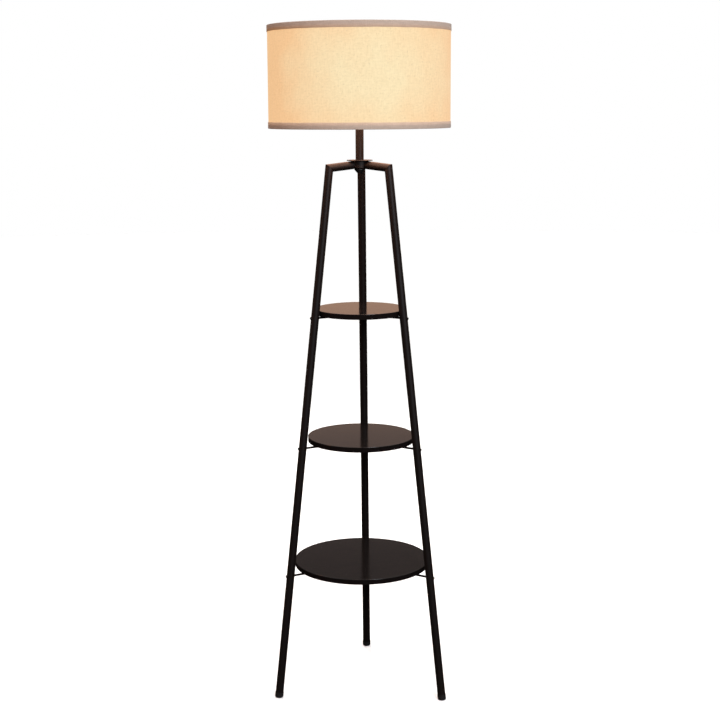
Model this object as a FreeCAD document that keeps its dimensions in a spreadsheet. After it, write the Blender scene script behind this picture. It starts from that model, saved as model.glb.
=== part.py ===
import FreeCAD, Part
import math
import os
import Sketcher

# A floor lamp on three leaning legs that carry three round shelves, with a drum shade on top.
# Millimetres, +Z up. The origin is the point of the floor under the pole, and the back leg
# stands on +Y. Every tripod piece is drawn in the XZ plane and turned round Z to its leg.

SIZES = (
    # Stance: where the legs' axes meet the floor and where they meet the arms.
    ("stance_radius", "214.4"),
    ("corner_radius", "74.5"),
    ("corner_height", "1194.7"),
    ("hub_height", "1201.5"),
    ("back_leg_turn", "90"),
    ("left_leg_turn", "210"),
    ("right_leg_turn", "330"),
    # Tubes: legs, arms and pole are of one stock.
    ("tube_radius", "9"),
    ("tube_wall", "1"),
    ("lower_joint_height", "400"),
    ("upper_joint_height", "800"),
    # Fits between pieces.
    ("plug_clearance", "0.05"),
    ("thread_clearance", "0.05"),
    ("running_clearance", "0.05"),
    ("hole_clearance", "0.2"),
    ("seat_gap", "0.1"),
    # How far a hole's cutter starts outside the piece.
    ("cut_overrun", "1"),
    # Feet.
    ("foot_radius", "9.6"),
    ("foot_height", "12"),
    ("foot_plug_length", "14"),
    ("foot_round", "3.5"),
    # Threaded joints inside the legs.
    ("insert_length", "14"),
    ("insert_setback", "0.2"),
    ("stud_radius", "4"),
    ("stud_bite", "12"),
    # Shelves: height is that of the top face.
    ("bottom_shelf_radius", "154"),
    ("bottom_shelf_height", "298"),
    ("middle_shelf_radius", "121"),
    ("middle_shelf_height", "590"),
    ("top_shelf_radius", "101"),
    ("top_shelf_height", "882"),
    ("board_thickness", "12"),
    ("board_round", "0.8"),
    # Support rods, which end in a drilled tab under the board.
    ("rod_radius", "2.5"),
    ("rod_gap", "0.4"),
    ("rod_drop", "0.2"),
    ("rod_reach", "45"),
    ("tab_length", "14"),
    ("tab_radius", "6"),
    ("tab_thickness", "2.5"),
    ("tab_overlap", "4"),
    # Screws from the leg into the rod, and from the tab into the board.
    ("leg_screw_radius", "1.5"),
    ("leg_screw_bite", "8"),
    ("leg_screw_spare", "1"),
    ("leg_screw_head_radius", "3"),
    ("leg_screw_head_height", "2.2"),
    ("leg_screw_head_crown", "1"),
    ("leg_screw_head_gap", "0.45"),
    ("board_screw_radius", "1.75"),
    ("board_screw_bite", "8"),
    ("board_screw_spare", "1"),
    ("board_screw_head_radius", "3.5"),
    ("board_screw_head_height", "2"),
    # Hub: a drilled block with a flat and a spigot for each arm.
    ("hub_radius", "19"),
    ("hub_flat", "16.7"),
    ("hub_rise", "7.7"),
    ("hub_drop", "9.3"),
    ("hub_bevel", "2"),
    ("spigot_length", "14"),
    ("spigot_root", "1.7"),
    ("grub_radius", "2"),
    ("grub_setback", "7"),
    ("grub_recess", "0.3"),
    ("grub_bite", "3"),
    ("cover_radius", "28.5"),
    ("cover_thickness", "1.6"),
    ("cover_round", "0.5"),
    # Hollow threaded pipe that clamps gland, hub, cover, pole and socket together.
    ("pipe_radius", "5"),
    ("pipe_wall", "1.5"),
    ("gland_radius", "12"),
    ("gland_rim", "2.5"),
    ("gland_tip_radius", "5.5"),
    ("gland_height", "10"),
    ("gland_thread_depth", "6"),
    ("cord_bore_radius", "3.3"),
    ("pole_top", "1290"),
    # Lamp socket: heights are above the pole's top.
    ("cap_neck_radius", "9"),
    ("cap_neck_height", "3"),
    ("cap_cone_height", "10"),
    ("cap_height", "16"),
    ("cap_wall", "1.7"),
    ("cap_boss_radius", "8"),
    ("cap_boss_height", "9.5"),
    ("socket_radius", "21"),
    ("socket_wall", "1.8"),
    ("ledge_height", "28.5"),
    ("ledge_thickness", "2"),
    ("ledge_radius", "15.5"),
    ("shoulder_height", "31"),
    ("shoulder_radius", "24"),
    ("shoulder_thickness", "2.5"),
    ("skirt_radius", "19.7"),
    ("skirt_wall", "2"),
    ("skirt_top", "59"),
    ("insulator_radius", "17.4"),
    ("insulator_height", "8"),
    ("insulator_floor", "4"),
    ("insulator_rim", "2.8"),
    ("rivet_radius", "2"),
    ("rivet_head_radius", "3.8"),
    ("rivet_head_height", "1"),
    ("contact_radius", "4.5"),
    ("contact_height", "2"),
    ("shell_radius", "14.4"),
    ("shell_wall", "0.6"),
    ("shell_height", "21"),
    ("shell_hole_radius", "10"),
    # Rotary switch.
    ("switch_height", "23.5"),
    ("switch_half_width", "7"),
    ("switch_half_height", "5.5"),
    ("spindle_radius", "3"),
    ("spindle_start", "3.1"),
    ("spindle_length", "31.4"),
    ("knob_start", "25"),
    ("knob_length", "12"),
    ("knob_radius", "5.5"),
    ("knob_cap", "2"),
    ("knob_chamfer", "0.8"),
    ("flute_radius", "0.9"),
    ("flute_offset", "0.3"),
    # Bulb: heights are above the socket's centre contact.
    ("bulb_contact_radius", "4.5"),
    ("bulb_contact_height", "2"),
    ("bulb_contact_tip_radius", "2.5"),
    ("bulb_cap_radius", "13.2"),
    ("bulb_cap_wall", "0.6"),
    ("bulb_cap_cone", "3.6"),
    ("bulb_cap_height", "20"),
    ("bulb_housing_plug", "3"),
    ("bulb_housing_neck", "14"),
    ("bulb_housing_cone", "37"),
    ("bulb_housing_top_radius", "28.5"),
    ("bulb_housing_rim", "4"),
    ("bulb_housing_wall", "1.5"),
    ("bulb_radius", "30"),
    ("bulb_wall", "1.2"),
    # Shade.
    ("shade_radius", "200"),
    ("shade_bottom", "1280"),
    ("shade_height", "220"),
    ("trim_width", "15"),
    ("trim_fold", "10"),
    ("trim_thickness", "0.8"),
    ("fabric_thickness", "0.6"),
    ("liner_thickness", "0.5"),
    ("skin_gap", "0.1"),
    ("wire_radius", "1.5"),
    ("fitter_inner_radius", "20.2"),
    ("fitter_outer_radius", "28"),
    ("fitter_thickness", "1.2"),
    ("ring_nut_radius", "26.5"),
    ("ring_nut_height", "8"),
    ("ring_nut_grip_radius", "1.2"),
    ("ring_nut_grip_offset", "0.4"),
    ("spoke_radius", "1.75"),
    ("notch_width", "6"),
)

LEGS = ("back", "left", "right")
TIERS = ("bottom", "middle", "top")
KNOB_FLUTES = 12
RING_NUT_GRIPS = 24

# A sketch's points start on a rough circle and its circles at a rough place and radius, in
# millimetres; the constraints then move them to their sizes.
ROUGH_CENTRE = 50
ROUGH_REACH = 40
ROUGH_PLACE = 20
ROUGH_RADIUS = 5.0
ROUGH_DISTANCE = 10.0

document = FreeCAD.newDocument("shelf_floor_lamp")
sheet = document.addObject("Spreadsheet::Sheet", "dims")
for row, (alias, value) in enumerate(SIZES, 1):
    sheet.set(f"A{row}", alias)
    sheet.set(f"B{row}", value)
    sheet.setAlias(f"B{row}", alias)
document.recompute()

# Slopes and lengths that follow from the stance.
LEAN = "((dims.stance_radius - dims.corner_radius) / dims.corner_height)"
TILT = f"atan({LEAN})"
DROOP = "atan((dims.hub_height - dims.corner_height) / dims.corner_radius)"
MITRE = f"(45 deg + ({TILT} - {DROOP}) / 2)"
BORE = "(dims.tube_radius - dims.tube_wall)"
PLUG = f"({BORE} - dims.plug_clearance)"
FACE = f"(dims.tube_radius / cos({TILT}))"
PIPE_HOLE = "(dims.pipe_radius + dims.thread_clearance)"

parts = []


def leg_turn(leg):
    return f"dims.{leg}_leg_turn"


def along_leg(height):
    """Distance along a leg's axis from the floor to a height."""
    return f"(({height}) / cos({TILT}))"


def leg_radius(height):
    """Distance of a leg's axis from the pole at a height."""
    return f"(dims.stance_radius - ({height}) * {LEAN})"


def new_body(label, turn="0"):
    """An empty body, turned round Z from the XZ plane to its place."""
    body = document.addObject("PartDesign::Body", label)
    body.Label = label
    body.AllowCompound = True
    body.setExpression("Placement", f"placement(vector(0; 0; 0); rotation({turn}; 0; 0))")
    parts.append(body)
    return body


def origin_feature(body, role):
    return next(item for item in body.Origin.OriginFeatures if item.Role == role)


def new_sketch(body, name, across="0", up="0", turn="0", plane="XZ_Plane", lift="0"):
    """A sketch whose own origin and axes are shifted and turned within one of the body's planes."""
    sketch = body.newObject("Sketcher::SketchObject", name)
    sketch.AttachmentSupport = [(origin_feature(body, plane), "")]
    sketch.MapMode = "FlatFace"
    place = f"placement(vector({across}; {up}; {lift}); rotation({turn}; 0; 0))"
    sketch.setExpression("AttachmentOffset", place)
    return sketch


def locate(sketch, element, point, kind, axis, distance):
    """Tie one coordinate of a point to a size, or to the axis itself where it is zero."""
    if distance == "0":
        sketch.addConstraint(Sketcher.Constraint("PointOnObject", element, point, axis))
    else:
        rough = Sketcher.Constraint(kind, -1, 1, element, point, ROUGH_DISTANCE)
        index = sketch.addConstraint(rough)
        sketch.setExpression(f"Constraints[{index}]", distance)


def rough_point(share):
    """A point at a share of the way round the rough circle."""
    angle = 2 * math.pi * share
    across = ROUGH_CENTRE + ROUGH_REACH * math.cos(angle)
    return FreeCAD.Vector(across, ROUGH_CENTRE + ROUGH_REACH * math.sin(angle), 0)


def draw_outline(sketch, corners):
    """A closed outline of straight lines through corners given as (across, up)."""
    count = len(corners)
    first = sketch.GeometryCount
    rough = [rough_point(i / count) for i in range(count)]
    for i in range(count):
        sketch.addGeometry(Part.LineSegment(rough[i], rough[(i + 1) % count]), False)
    for i in range(count):
        following = first + (i + 1) % count
        sketch.addConstraint(Sketcher.Constraint("Coincident", first + i, 2, following, 1))
    for i, (across, up) in enumerate(corners):
        locate(sketch, first + i, 1, "DistanceX", -2, across)
        locate(sketch, first + i, 1, "DistanceY", -1, up)


def draw_box(sketch, left, right, low, high):
    draw_outline(sketch, [(left, low), (right, low), (right, high), (left, high)])


def draw_circle(sketch, radius, across="0", up="0"):
    centre = FreeCAD.Vector(ROUGH_PLACE, ROUGH_PLACE, 0)
    circle = Part.Circle(centre, FreeCAD.Vector(0, 0, 1), ROUGH_RADIUS)
    element = sketch.addGeometry(circle, False)
    index = sketch.addConstraint(Sketcher.Constraint("Radius", element, ROUGH_RADIUS))
    sketch.setExpression(f"Constraints[{index}]", radius)
    locate(sketch, element, 3, "DistanceX", -2, across)
    locate(sketch, element, 3, "DistanceY", -1, up)


def revolve(body, name, sketch, axis="V_Axis", cut=False):
    """Turn a sketch through a full circle round one of its own axes."""
    feature = body.newObject("PartDesign::Groove" if cut else "PartDesign::Revolution", name)
    feature.Profile = sketch
    feature.ReferenceAxis = (sketch, [axis])
    feature.Angle = 360
    return feature


def pad(body, name, sketch, length):
    feature = body.newObject("PartDesign::Pad", name)
    feature.Profile = sketch
    feature.setExpression("Length", length)
    return feature


def cut_through(body, name, sketch):
    """Cut a sketch right through, to both sides of its plane."""
    feature = body.newObject("PartDesign::Pocket", name)
    feature.Profile = sketch
    feature.SideType = "Symmetric"
    feature.Type = "ThroughAll"
    return feature


def cut_slot(body, name, sketch, width):
    """Cut a sketch to a width shared between both sides of its plane."""
    feature = body.newObject("PartDesign::Pocket", name)
    feature.Profile = sketch
    feature.SideType = "Symmetric"
    feature.Type = "Length"
    feature.setExpression("Length", width)
    return feature


def repeat_round(body, name, features, count=len(LEGS), axis=None):
    """Repeat features round an axis, which is Z unless another is given."""
    feature = body.newObject("PartDesign::PolarPattern", name)
    feature.Originals = features
    feature.Axis = axis or (origin_feature(body, "Z_Axis"), [""])
    feature.Angle = 360
    feature.Occurrences = count
    body.Tip = feature
    return feature


def edges_at_height(shape, height):
    """Names of the edges that lie level at a height."""
    near = 1e-4
    return [
        f"Edge{index}"
        for index, edge in enumerate(shape.Edges, 1)
        if abs(edge.BoundBox.ZMin - height) < near and abs(edge.BoundBox.ZMax - height) < near
    ]


def blend(body, name, kind, edges, size):
    """Fillet or chamfer edges of the body's last feature."""
    base = body.Tip
    feature = body.newObject(f"PartDesign::{kind}", name)
    feature.Base = (base, edges)
    feature.setExpression("Radius" if kind == "Fillet" else "Size", size)
    return feature


def turned(label, corners, turn="0"):
    """A body turned round Z from one outline."""
    body = new_body(label, turn)
    sketch = new_sketch(body, f"{label}_profile")
    draw_outline(sketch, corners)
    revolve(body, f"{label}_turned", sketch)
    return body


def sleeve(label, inner, outer, low, high):
    """A plain ring or tube round Z."""
    return turned(label, [(inner, low), (outer, low), (outer, high), (inner, high)])


# Legs.


def mitre_cut(body, label, outer_side):
    """Cut along the plane that halves the angle of leg and arm, on the arm's side or the leg's."""
    sketch = new_sketch(body, f"{label}_mitre", "dims.corner_radius", "dims.corner_height", MITRE)
    reach = "(3 * dims.tube_radius)"
    if outer_side:
        draw_box(sketch, f"-{reach}", reach, "0", reach)
    else:
        draw_box(sketch, f"-{reach}", reach, f"-{reach}", "0")
    cut_through(body, f"{label}_mitre_cut", sketch)


def rod_height(tier):
    return f"(dims.{tier}_shelf_height - dims.board_thickness - dims.rod_drop - dims.rod_radius)"


def leg_section(name, leg, tier, start, end, mitred=False):
    """One length of leg tube, drilled for the screw of the shelf that it carries."""
    label = f"{name}_leg_{leg}"
    body = new_body(label, leg_turn(leg))
    sketch = new_sketch(body, f"{label}_wall", "dims.stance_radius", "0", TILT)
    draw_box(sketch, BORE, "dims.tube_radius", start, end)
    revolve(body, f"{label}_tube", sketch)
    if mitred:
        mitre_cut(body, label, True)
    height = rod_height(tier)
    drill = new_sketch(body, f"{label}_drill", leg_radius(height), height)
    radius = "dims.leg_screw_radius + dims.hole_clearance"
    draw_box(drill, "-2 * dims.tube_radius", "2 * dims.tube_radius", "0", radius)
    revolve(body, f"{label}_screw_hole", drill, "H_Axis", cut=True)


def foot_cap(leg):
    """A rubber cap with a plug up the tube and a flat sole on the floor."""
    label = f"foot_cap_{leg}"
    body = new_body(label, leg_turn(leg))
    sketch = new_sketch(body, f"{label}_profile", "dims.stance_radius", "0", TILT)
    corners = [
        ("0", f"-dims.foot_radius * {LEAN}"),
        ("dims.foot_radius", f"-dims.foot_radius * {LEAN}"),
        ("dims.foot_radius", "dims.foot_height"),
        (PLUG, "dims.foot_height"),
        (PLUG, "dims.foot_height + dims.foot_plug_length"),
        ("0", "dims.foot_height + dims.foot_plug_length"),
    ]
    draw_outline(sketch, corners)
    revolve(body, f"{label}_turned", sketch)
    floor = new_sketch(body, f"{label}_floor", "dims.stance_radius")
    reach = "(3 * dims.foot_radius)"
    draw_box(floor, f"-{reach}", reach, f"-{reach}", "0")
    cut_through(body, f"{label}_sole", floor)
    document.recompute()
    blend(body, f"{label}_round", "Fillet", edges_at_height(body.Tip.Shape, 0), "dims.foot_round")


def arm(leg):
    """A tube from the hub's flat to the mitred corner, drilled beneath for its grub screw."""
    label = f"arm_{leg}"
    body = new_body(label, leg_turn(leg))
    sketch = new_sketch(body, f"{label}_wall", "0", "dims.hub_height", f"-{DROOP}")
    past_corner = f"(dims.corner_radius / cos({DROOP}) + dims.tube_radius)"
    draw_box(sketch, "dims.hub_flat", past_corner, BORE, "dims.tube_radius")
    revolve(body, f"{label}_tube", sketch, "H_Axis")
    mitre_cut(body, label, False)
    drill = grub_sketch(body, f"{label}_drill")
    draw_box(drill, "0", "dims.grub_radius + dims.thread_clearance", "-2 * dims.tube_radius", "0")
    revolve(body, f"{label}_grub_hole", drill, cut=True)


def grub_sketch(body, name):
    """A sketch whose upright axis is that of an arm's grub screw."""
    away = "(dims.hub_flat + dims.grub_setback)"
    across = f"{away} * cos({DROOP})"
    up = f"dims.hub_height - {away} * sin({DROOP})"
    return new_sketch(body, name, across, up, f"-{DROOP}")


def leg_joints():
    """Threaded inserts in both tube ends at each joint, and the stud between them."""
    joints = ("dims.lower_joint_height", "dims.upper_joint_height")
    inserts = new_body("leg_inserts", leg_turn("back"))
    sketch = new_sketch(inserts, "inserts_profile", "dims.stance_radius", "0", TILT)
    for height in joints:
        middle = along_leg(height)
        hole = "dims.stud_radius + dims.thread_clearance"
        far = "(dims.insert_length + dims.insert_setback)"
        draw_box(sketch, hole, PLUG, f"{middle} - {far}", f"{middle} - dims.insert_setback")
        draw_box(sketch, hole, PLUG, f"{middle} + dims.insert_setback", f"{middle} + {far}")
    repeat_round(inserts, "inserts_round", [revolve(inserts, "inserts_turned", sketch)])
    studs = new_body("leg_studs", leg_turn("back"))
    sketch = new_sketch(studs, "studs_profile", "dims.stance_radius", "0", TILT)
    for height in joints:
        middle = along_leg(height)
        draw_box(sketch, "0", "dims.stud_radius", f"{middle} - dims.stud_bite", f"{middle} + dims.stud_bite")
    repeat_round(studs, "studs_round", [revolve(studs, "studs_turned", sketch)])


# Shelves and what holds them.


def board_underside(tier):
    return f"(dims.{tier}_shelf_height - dims.board_thickness)"


def rod_start(tier):
    return f"(dims.{tier}_shelf_radius - dims.rod_reach)"


def rod_end(tier):
    return f"({leg_radius(rod_height(tier))} - {FACE} - dims.rod_gap)"


def board_screw_place(tier):
    return f"({rod_start(tier)} - dims.tab_length)"


def support(tier, leg):
    """A rod from the leg to under the board, flattened at its end into a drilled tab."""
    label = f"{tier}_support_{leg}"
    body = new_body(label, leg_turn(leg))
    rod = new_sketch(body, f"{label}_rod_profile", up=rod_height(tier))
    draw_box(rod, rod_start(tier), rod_end(tier), "0", "dims.rod_radius")
    revolve(body, f"{label}_rod", rod, "H_Axis")
    tab_low = f"{board_underside(tier)} - dims.tab_thickness"
    strip = new_sketch(body, f"{label}_strip_outline", plane="XY_Plane", lift=tab_low)
    half = "dims.rod_radius"
    draw_box(strip, board_screw_place(tier), f"{rod_start(tier)} + dims.tab_overlap", f"-{half}", half)
    pad(body, f"{label}_strip", strip, "dims.tab_thickness")
    eye = new_sketch(body, f"{label}_eye_outline", plane="XY_Plane", lift=tab_low)
    draw_circle(eye, "dims.tab_radius", board_screw_place(tier))
    pad(body, f"{label}_eye", eye, "dims.tab_thickness")
    hole = new_sketch(body, f"{label}_hole_outline", plane="XY_Plane", lift=tab_low)
    draw_circle(hole, "dims.board_screw_radius + dims.hole_clearance", board_screw_place(tier))
    cut_through(body, f"{label}_hole", hole)
    bore = new_sketch(body, f"{label}_bore_profile", up=rod_height(tier))
    depth = "(dims.leg_screw_bite + dims.leg_screw_spare)"
    radius = "dims.leg_screw_radius + dims.thread_clearance"
    mouth = f"{rod_end(tier)} + dims.cut_overrun"
    draw_box(bore, f"{rod_end(tier)} - {depth}", mouth, "0", radius)
    revolve(body, f"{label}_bore", bore, "H_Axis", cut=True)


def shelf(tier):
    """A round board with eased edges and three pilot holes beneath."""
    label = f"{tier}_shelf"
    body = new_body(label, leg_turn("back"))
    disc = new_sketch(body, f"{label}_outline", plane="XY_Plane", lift=board_underside(tier))
    draw_circle(disc, f"dims.{tier}_shelf_radius")
    pad(body, f"{label}_disc", disc, "dims.board_thickness")
    document.recompute()
    shape = body.Tip.Shape
    rims = edges_at_height(shape, shape.BoundBox.ZMin) + edges_at_height(shape, shape.BoundBox.ZMax)
    blend(body, f"{label}_eased", "Fillet", rims, "dims.board_round")
    pilot = new_sketch(body, f"{label}_pilot_profile", board_screw_place(tier), board_underside(tier))
    radius = "dims.board_screw_radius + dims.thread_clearance"
    depth = "dims.board_screw_bite + dims.board_screw_spare"
    draw_box(pilot, "0", radius, "-dims.cut_overrun", depth)
    hole = revolve(body, f"{label}_pilot", pilot, cut=True)
    repeat_round(body, f"{label}_pilots", [hole])


def leg_screws():
    """The pan-head screws that pass through the legs into the rods."""
    body = new_body("leg_screws", leg_turn("back"))
    for tier in TIERS:
        height = rod_height(tier)
        sketch = new_sketch(body, f"{tier}_leg_screw_profile", rod_end(tier), height)
        seat = f"({leg_radius(height)} + {FACE} + dims.leg_screw_head_gap - {rod_end(tier)})"
        head_end = f"{seat} + dims.leg_screw_head_height"
        head_radius = "dims.leg_screw_head_radius"
        corners = [
            ("-dims.leg_screw_bite", "0"),
            ("-dims.leg_screw_bite", "dims.leg_screw_radius"),
            (seat, "dims.leg_screw_radius"),
            (seat, head_radius),
            (f"{head_end} - dims.leg_screw_head_crown", head_radius),
            (head_end, f"{head_radius} - dims.leg_screw_head_crown"),
            (head_end, "0"),
        ]
        draw_outline(sketch, corners)
        screw = revolve(body, f"{tier}_leg_screw", sketch, "H_Axis")
        repeat_round(body, f"{tier}_leg_screws", [screw])


def board_screws():
    """The wood screws that hold the tabs to the boards."""
    body = new_body("board_screws", leg_turn("back"))
    for tier in TIERS:
        place = board_screw_place(tier)
        sketch = new_sketch(body, f"{tier}_board_screw_profile", place, board_underside(tier))
        seat = "-dims.tab_thickness"
        corners = [
            ("0", "dims.board_screw_bite"),
            ("0", f"{seat} - dims.board_screw_head_height"),
            ("dims.board_screw_head_radius", f"{seat} - dims.board_screw_head_height"),
            ("dims.board_screw_head_radius", seat),
            ("dims.board_screw_radius", seat),
            ("dims.board_screw_radius", "dims.board_screw_bite"),
        ]
        draw_outline(sketch, corners)
        screw = revolve(body, f"{tier}_board_screw", sketch)
        repeat_round(body, f"{tier}_board_screws", [screw])


# Hub, pipe and pole.

HUB_TOP = "(dims.hub_height + dims.hub_rise)"
HUB_BASE = "(dims.hub_height - dims.hub_drop)"
COVER_BASE = f"({HUB_TOP} + dims.seat_gap)"
POLE_BASE = f"({COVER_BASE} + dims.cover_thickness)"
GLAND_TOP = f"({HUB_BASE} - dims.seat_gap)"
GLAND_FLOOR = f"({GLAND_TOP} - dims.gland_thread_depth)"


def hub_body():
    body = turned(
        "hub_body",
        [
            (PIPE_HOLE, HUB_BASE),
            ("dims.hub_radius - dims.hub_bevel", HUB_BASE),
            ("dims.hub_radius", f"{HUB_BASE} + dims.hub_bevel"),
            ("dims.hub_radius", HUB_TOP),
            (PIPE_HOLE, HUB_TOP),
        ],
        leg_turn("back"),
    )
    flat_sketch = new_sketch(body, "hub_flat_outline", "0", "dims.hub_height", f"-{DROOP}")
    reach = "(2 * dims.hub_radius)"
    draw_box(flat_sketch, "dims.hub_flat", reach, f"-{reach}", reach)
    flat = cut_through(body, "hub_flat", flat_sketch)
    spigot_sketch = new_sketch(body, "hub_spigot_profile", "0", "dims.hub_height", f"-{DROOP}")
    spigot_end = "dims.hub_flat + dims.spigot_length"
    draw_box(spigot_sketch, "dims.hub_flat - dims.spigot_root", spigot_end, "0", PLUG)
    spigot = revolve(body, "hub_spigot", spigot_sketch, "H_Axis")
    thread_sketch = grub_sketch(body, "hub_grub_profile")
    thread_top = f"dims.grub_bite - {PLUG}"
    radius = "dims.grub_radius + dims.thread_clearance"
    draw_box(thread_sketch, "0", radius, "-2 * dims.tube_radius", thread_top)
    thread = revolve(body, "hub_grub_hole", thread_sketch, cut=True)
    repeat_round(body, "hub_sockets", [flat, spigot, thread])


def grub_screws():
    body = new_body("arm_grub_screws", leg_turn("back"))
    sketch = grub_sketch(body, "grub_profile")
    top = f"dims.grub_bite - dims.seat_gap - {PLUG}"
    draw_box(sketch, "0", "dims.grub_radius", "dims.grub_recess - dims.tube_radius", top)
    repeat_round(body, "grub_screws_round", [revolve(body, "grub_turned", sketch)])


def hub_cover():
    body = sleeve("hub_cover", PIPE_HOLE, "dims.cover_radius", COVER_BASE, POLE_BASE)
    document.recompute()
    shape = body.Tip.Shape
    rims = edges_at_height(shape, shape.BoundBox.ZMax)
    outer = max(rims, key=lambda name: shape.getElement(name).Length)
    blend(body, "hub_cover_eased", "Fillet", [outer], "dims.cover_round")


def cord_gland():
    """The tapered nut under the hub, through which the mains cord enters."""
    tip = f"({GLAND_TOP} - dims.gland_height)"
    corners = [
        (PIPE_HOLE, GLAND_TOP),
        ("dims.gland_radius", GLAND_TOP),
        ("dims.gland_radius", f"{GLAND_TOP} - dims.gland_rim"),
        ("dims.gland_tip_radius", tip),
        ("dims.cord_bore_radius", tip),
        ("dims.cord_bore_radius", GLAND_FLOOR),
        (PIPE_HOLE, GLAND_FLOOR),
    ]
    turned("cord_gland", corners)


# Lamp socket and its switch.


def above_pole(height):
    return f"(dims.pole_top + ({height}))"


SOCKET_BASE = above_pole("dims.seat_gap")
SKIRT_SEAT = "(dims.shoulder_height + dims.shoulder_thickness)"
PIPE_TOP = f"({SOCKET_BASE} + dims.cap_boss_height - dims.seat_gap)"
SPINDLE_HOLE = "(dims.spindle_radius + dims.running_clearance)"


def socket_cap():
    cone_rise = "(dims.cap_cone_height - dims.cap_neck_height)"
    cone_run = "(dims.socket_radius - dims.cap_neck_radius)"
    wall_up = f"(dims.cap_wall * ({cone_rise}^2 + {cone_run}^2)^0.5 / {cone_run})"
    inner = "(dims.socket_radius - dims.cap_wall)"
    boss_inset = "(dims.cap_neck_radius - dims.cap_boss_radius)"
    outer_at_boss = f"(dims.cap_neck_height - {boss_inset} * {cone_rise} / {cone_run})"
    outer_at_wall = f"(dims.cap_cone_height - dims.cap_wall * {cone_rise} / {cone_run})"
    corners = [
        (PIPE_HOLE, SOCKET_BASE),
        ("dims.cap_neck_radius", SOCKET_BASE),
        ("dims.cap_neck_radius", above_pole("dims.cap_neck_height")),
        ("dims.socket_radius", above_pole("dims.cap_cone_height")),
        ("dims.socket_radius", above_pole("dims.cap_height")),
        (inner, above_pole("dims.cap_height")),
        (inner, above_pole(f"{outer_at_wall} + {wall_up}")),
        ("dims.cap_boss_radius", above_pole(f"{outer_at_boss} + {wall_up}")),
        ("dims.cap_boss_radius", above_pole("dims.cap_boss_height")),
        (PIPE_HOLE, above_pole("dims.cap_boss_height")),
    ]
    turned("socket_cap", corners)


def socket_body():
    """The housing over the cap: a drilled drum, a ledge inside, a shoulder and a threaded skirt."""
    drum_inner = "(dims.socket_radius - dims.socket_wall)"
    skirt_inner = "(dims.skirt_radius - dims.skirt_wall)"
    base = above_pole("dims.cap_height + dims.seat_gap")
    corners = [
        (drum_inner, base),
        ("dims.socket_radius", base),
        ("dims.socket_radius", above_pole("dims.shoulder_height")),
        ("dims.shoulder_radius", above_pole("dims.shoulder_height")),
        ("dims.shoulder_radius", above_pole(SKIRT_SEAT)),
        ("dims.skirt_radius", above_pole(SKIRT_SEAT)),
        ("dims.skirt_radius", above_pole("dims.skirt_top")),
        (skirt_inner, above_pole("dims.skirt_top")),
        (skirt_inner, above_pole("dims.ledge_height + dims.ledge_thickness")),
        ("dims.ledge_radius", above_pole("dims.ledge_height + dims.ledge_thickness")),
        ("dims.ledge_radius", above_pole("dims.ledge_height")),
        (drum_inner, above_pole("dims.ledge_height")),
    ]
    body = turned("socket_body", corners, "-90")
    drill = new_sketch(body, "spindle_hole_profile", up=above_pole("dims.switch_height"))
    inside = f"{drum_inner} - 2 * dims.socket_wall"
    draw_box(drill, inside, "dims.socket_radius + dims.cut_overrun", "0", SPINDLE_HOLE)
    revolve(body, "spindle_hole", drill, "H_Axis", cut=True)


INSULATOR_BASE = above_pole("dims.ledge_height + dims.ledge_thickness")
INSULATOR_FLOOR = f"({INSULATOR_BASE} + dims.insulator_floor)"
SHELL_BASE = f"({INSULATOR_FLOOR} + dims.seat_gap)"
CONTACT_TOP = f"({SHELL_BASE} + dims.contact_height)"


def socket_insulator():
    hole = "(dims.rivet_radius + dims.seat_gap)"
    top = f"({INSULATOR_BASE} + dims.insulator_height)"
    corners = [
        (hole, INSULATOR_BASE),
        ("dims.insulator_radius", INSULATOR_BASE),
        ("dims.insulator_radius", top),
        ("dims.insulator_radius - dims.insulator_rim", top),
        ("dims.insulator_radius - dims.insulator_rim", INSULATOR_FLOOR),
        (hole, INSULATOR_FLOOR),
    ]
    turned("socket_insulator", corners)


def centre_contact():
    """A riveted brass button that the bulb's tip presses on."""
    rivet_top = f"({INSULATOR_BASE} - dims.seat_gap)"
    corners = [
        ("0", f"{rivet_top} - dims.rivet_head_height"),
        ("dims.rivet_head_radius", f"{rivet_top} - dims.rivet_head_height"),
        ("dims.rivet_head_radius", rivet_top),
        ("dims.rivet_radius", rivet_top),
        ("dims.rivet_radius", SHELL_BASE),
        ("dims.contact_radius", SHELL_BASE),
        ("dims.contact_radius", CONTACT_TOP),
        ("0", CONTACT_TOP),
    ]
    turned("centre_contact", corners)


def screw_shell():
    inner = "(dims.shell_radius - dims.shell_wall)"
    top = f"({SHELL_BASE} + dims.shell_height)"
    corners = [
        ("dims.shell_hole_radius", SHELL_BASE),
        ("dims.shell_radius", SHELL_BASE),
        ("dims.shell_radius", top),
        (inner, top),
        (inner, f"{SHELL_BASE} + dims.shell_wall"),
        ("dims.shell_hole_radius", f"{SHELL_BASE} + dims.shell_wall"),
    ]
    turned("screw_shell", corners)


SWITCH_AXIS = above_pole("dims.switch_height")


def switch_block():
    body = new_body("switch_block", "-90")
    low = above_pole("dims.switch_height - dims.switch_half_height")
    square = new_sketch(body, "switch_outline", plane="XY_Plane", lift=low)
    half = "dims.switch_half_width"
    draw_box(square, f"-{half}", half, f"-{half}", half)
    pad(body, "switch_case", square, "2 * dims.switch_half_height")
    bore = new_sketch(body, "switch_bore_profile", up=SWITCH_AXIS)
    mouth = "dims.switch_half_width + dims.cut_overrun"
    draw_box(bore, "dims.spindle_start - dims.seat_gap", mouth, "0", SPINDLE_HOLE)
    revolve(body, "switch_bore", bore, "H_Axis", cut=True)


def switch_spindle():
    body = new_body("switch_spindle", "-90")
    sketch = new_sketch(body, "spindle_profile", up=SWITCH_AXIS)
    end = "dims.spindle_start + dims.spindle_length"
    draw_box(sketch, "dims.spindle_start", end, "0", "dims.spindle_radius")
    revolve(body, "spindle_turned", sketch, "H_Axis")


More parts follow.
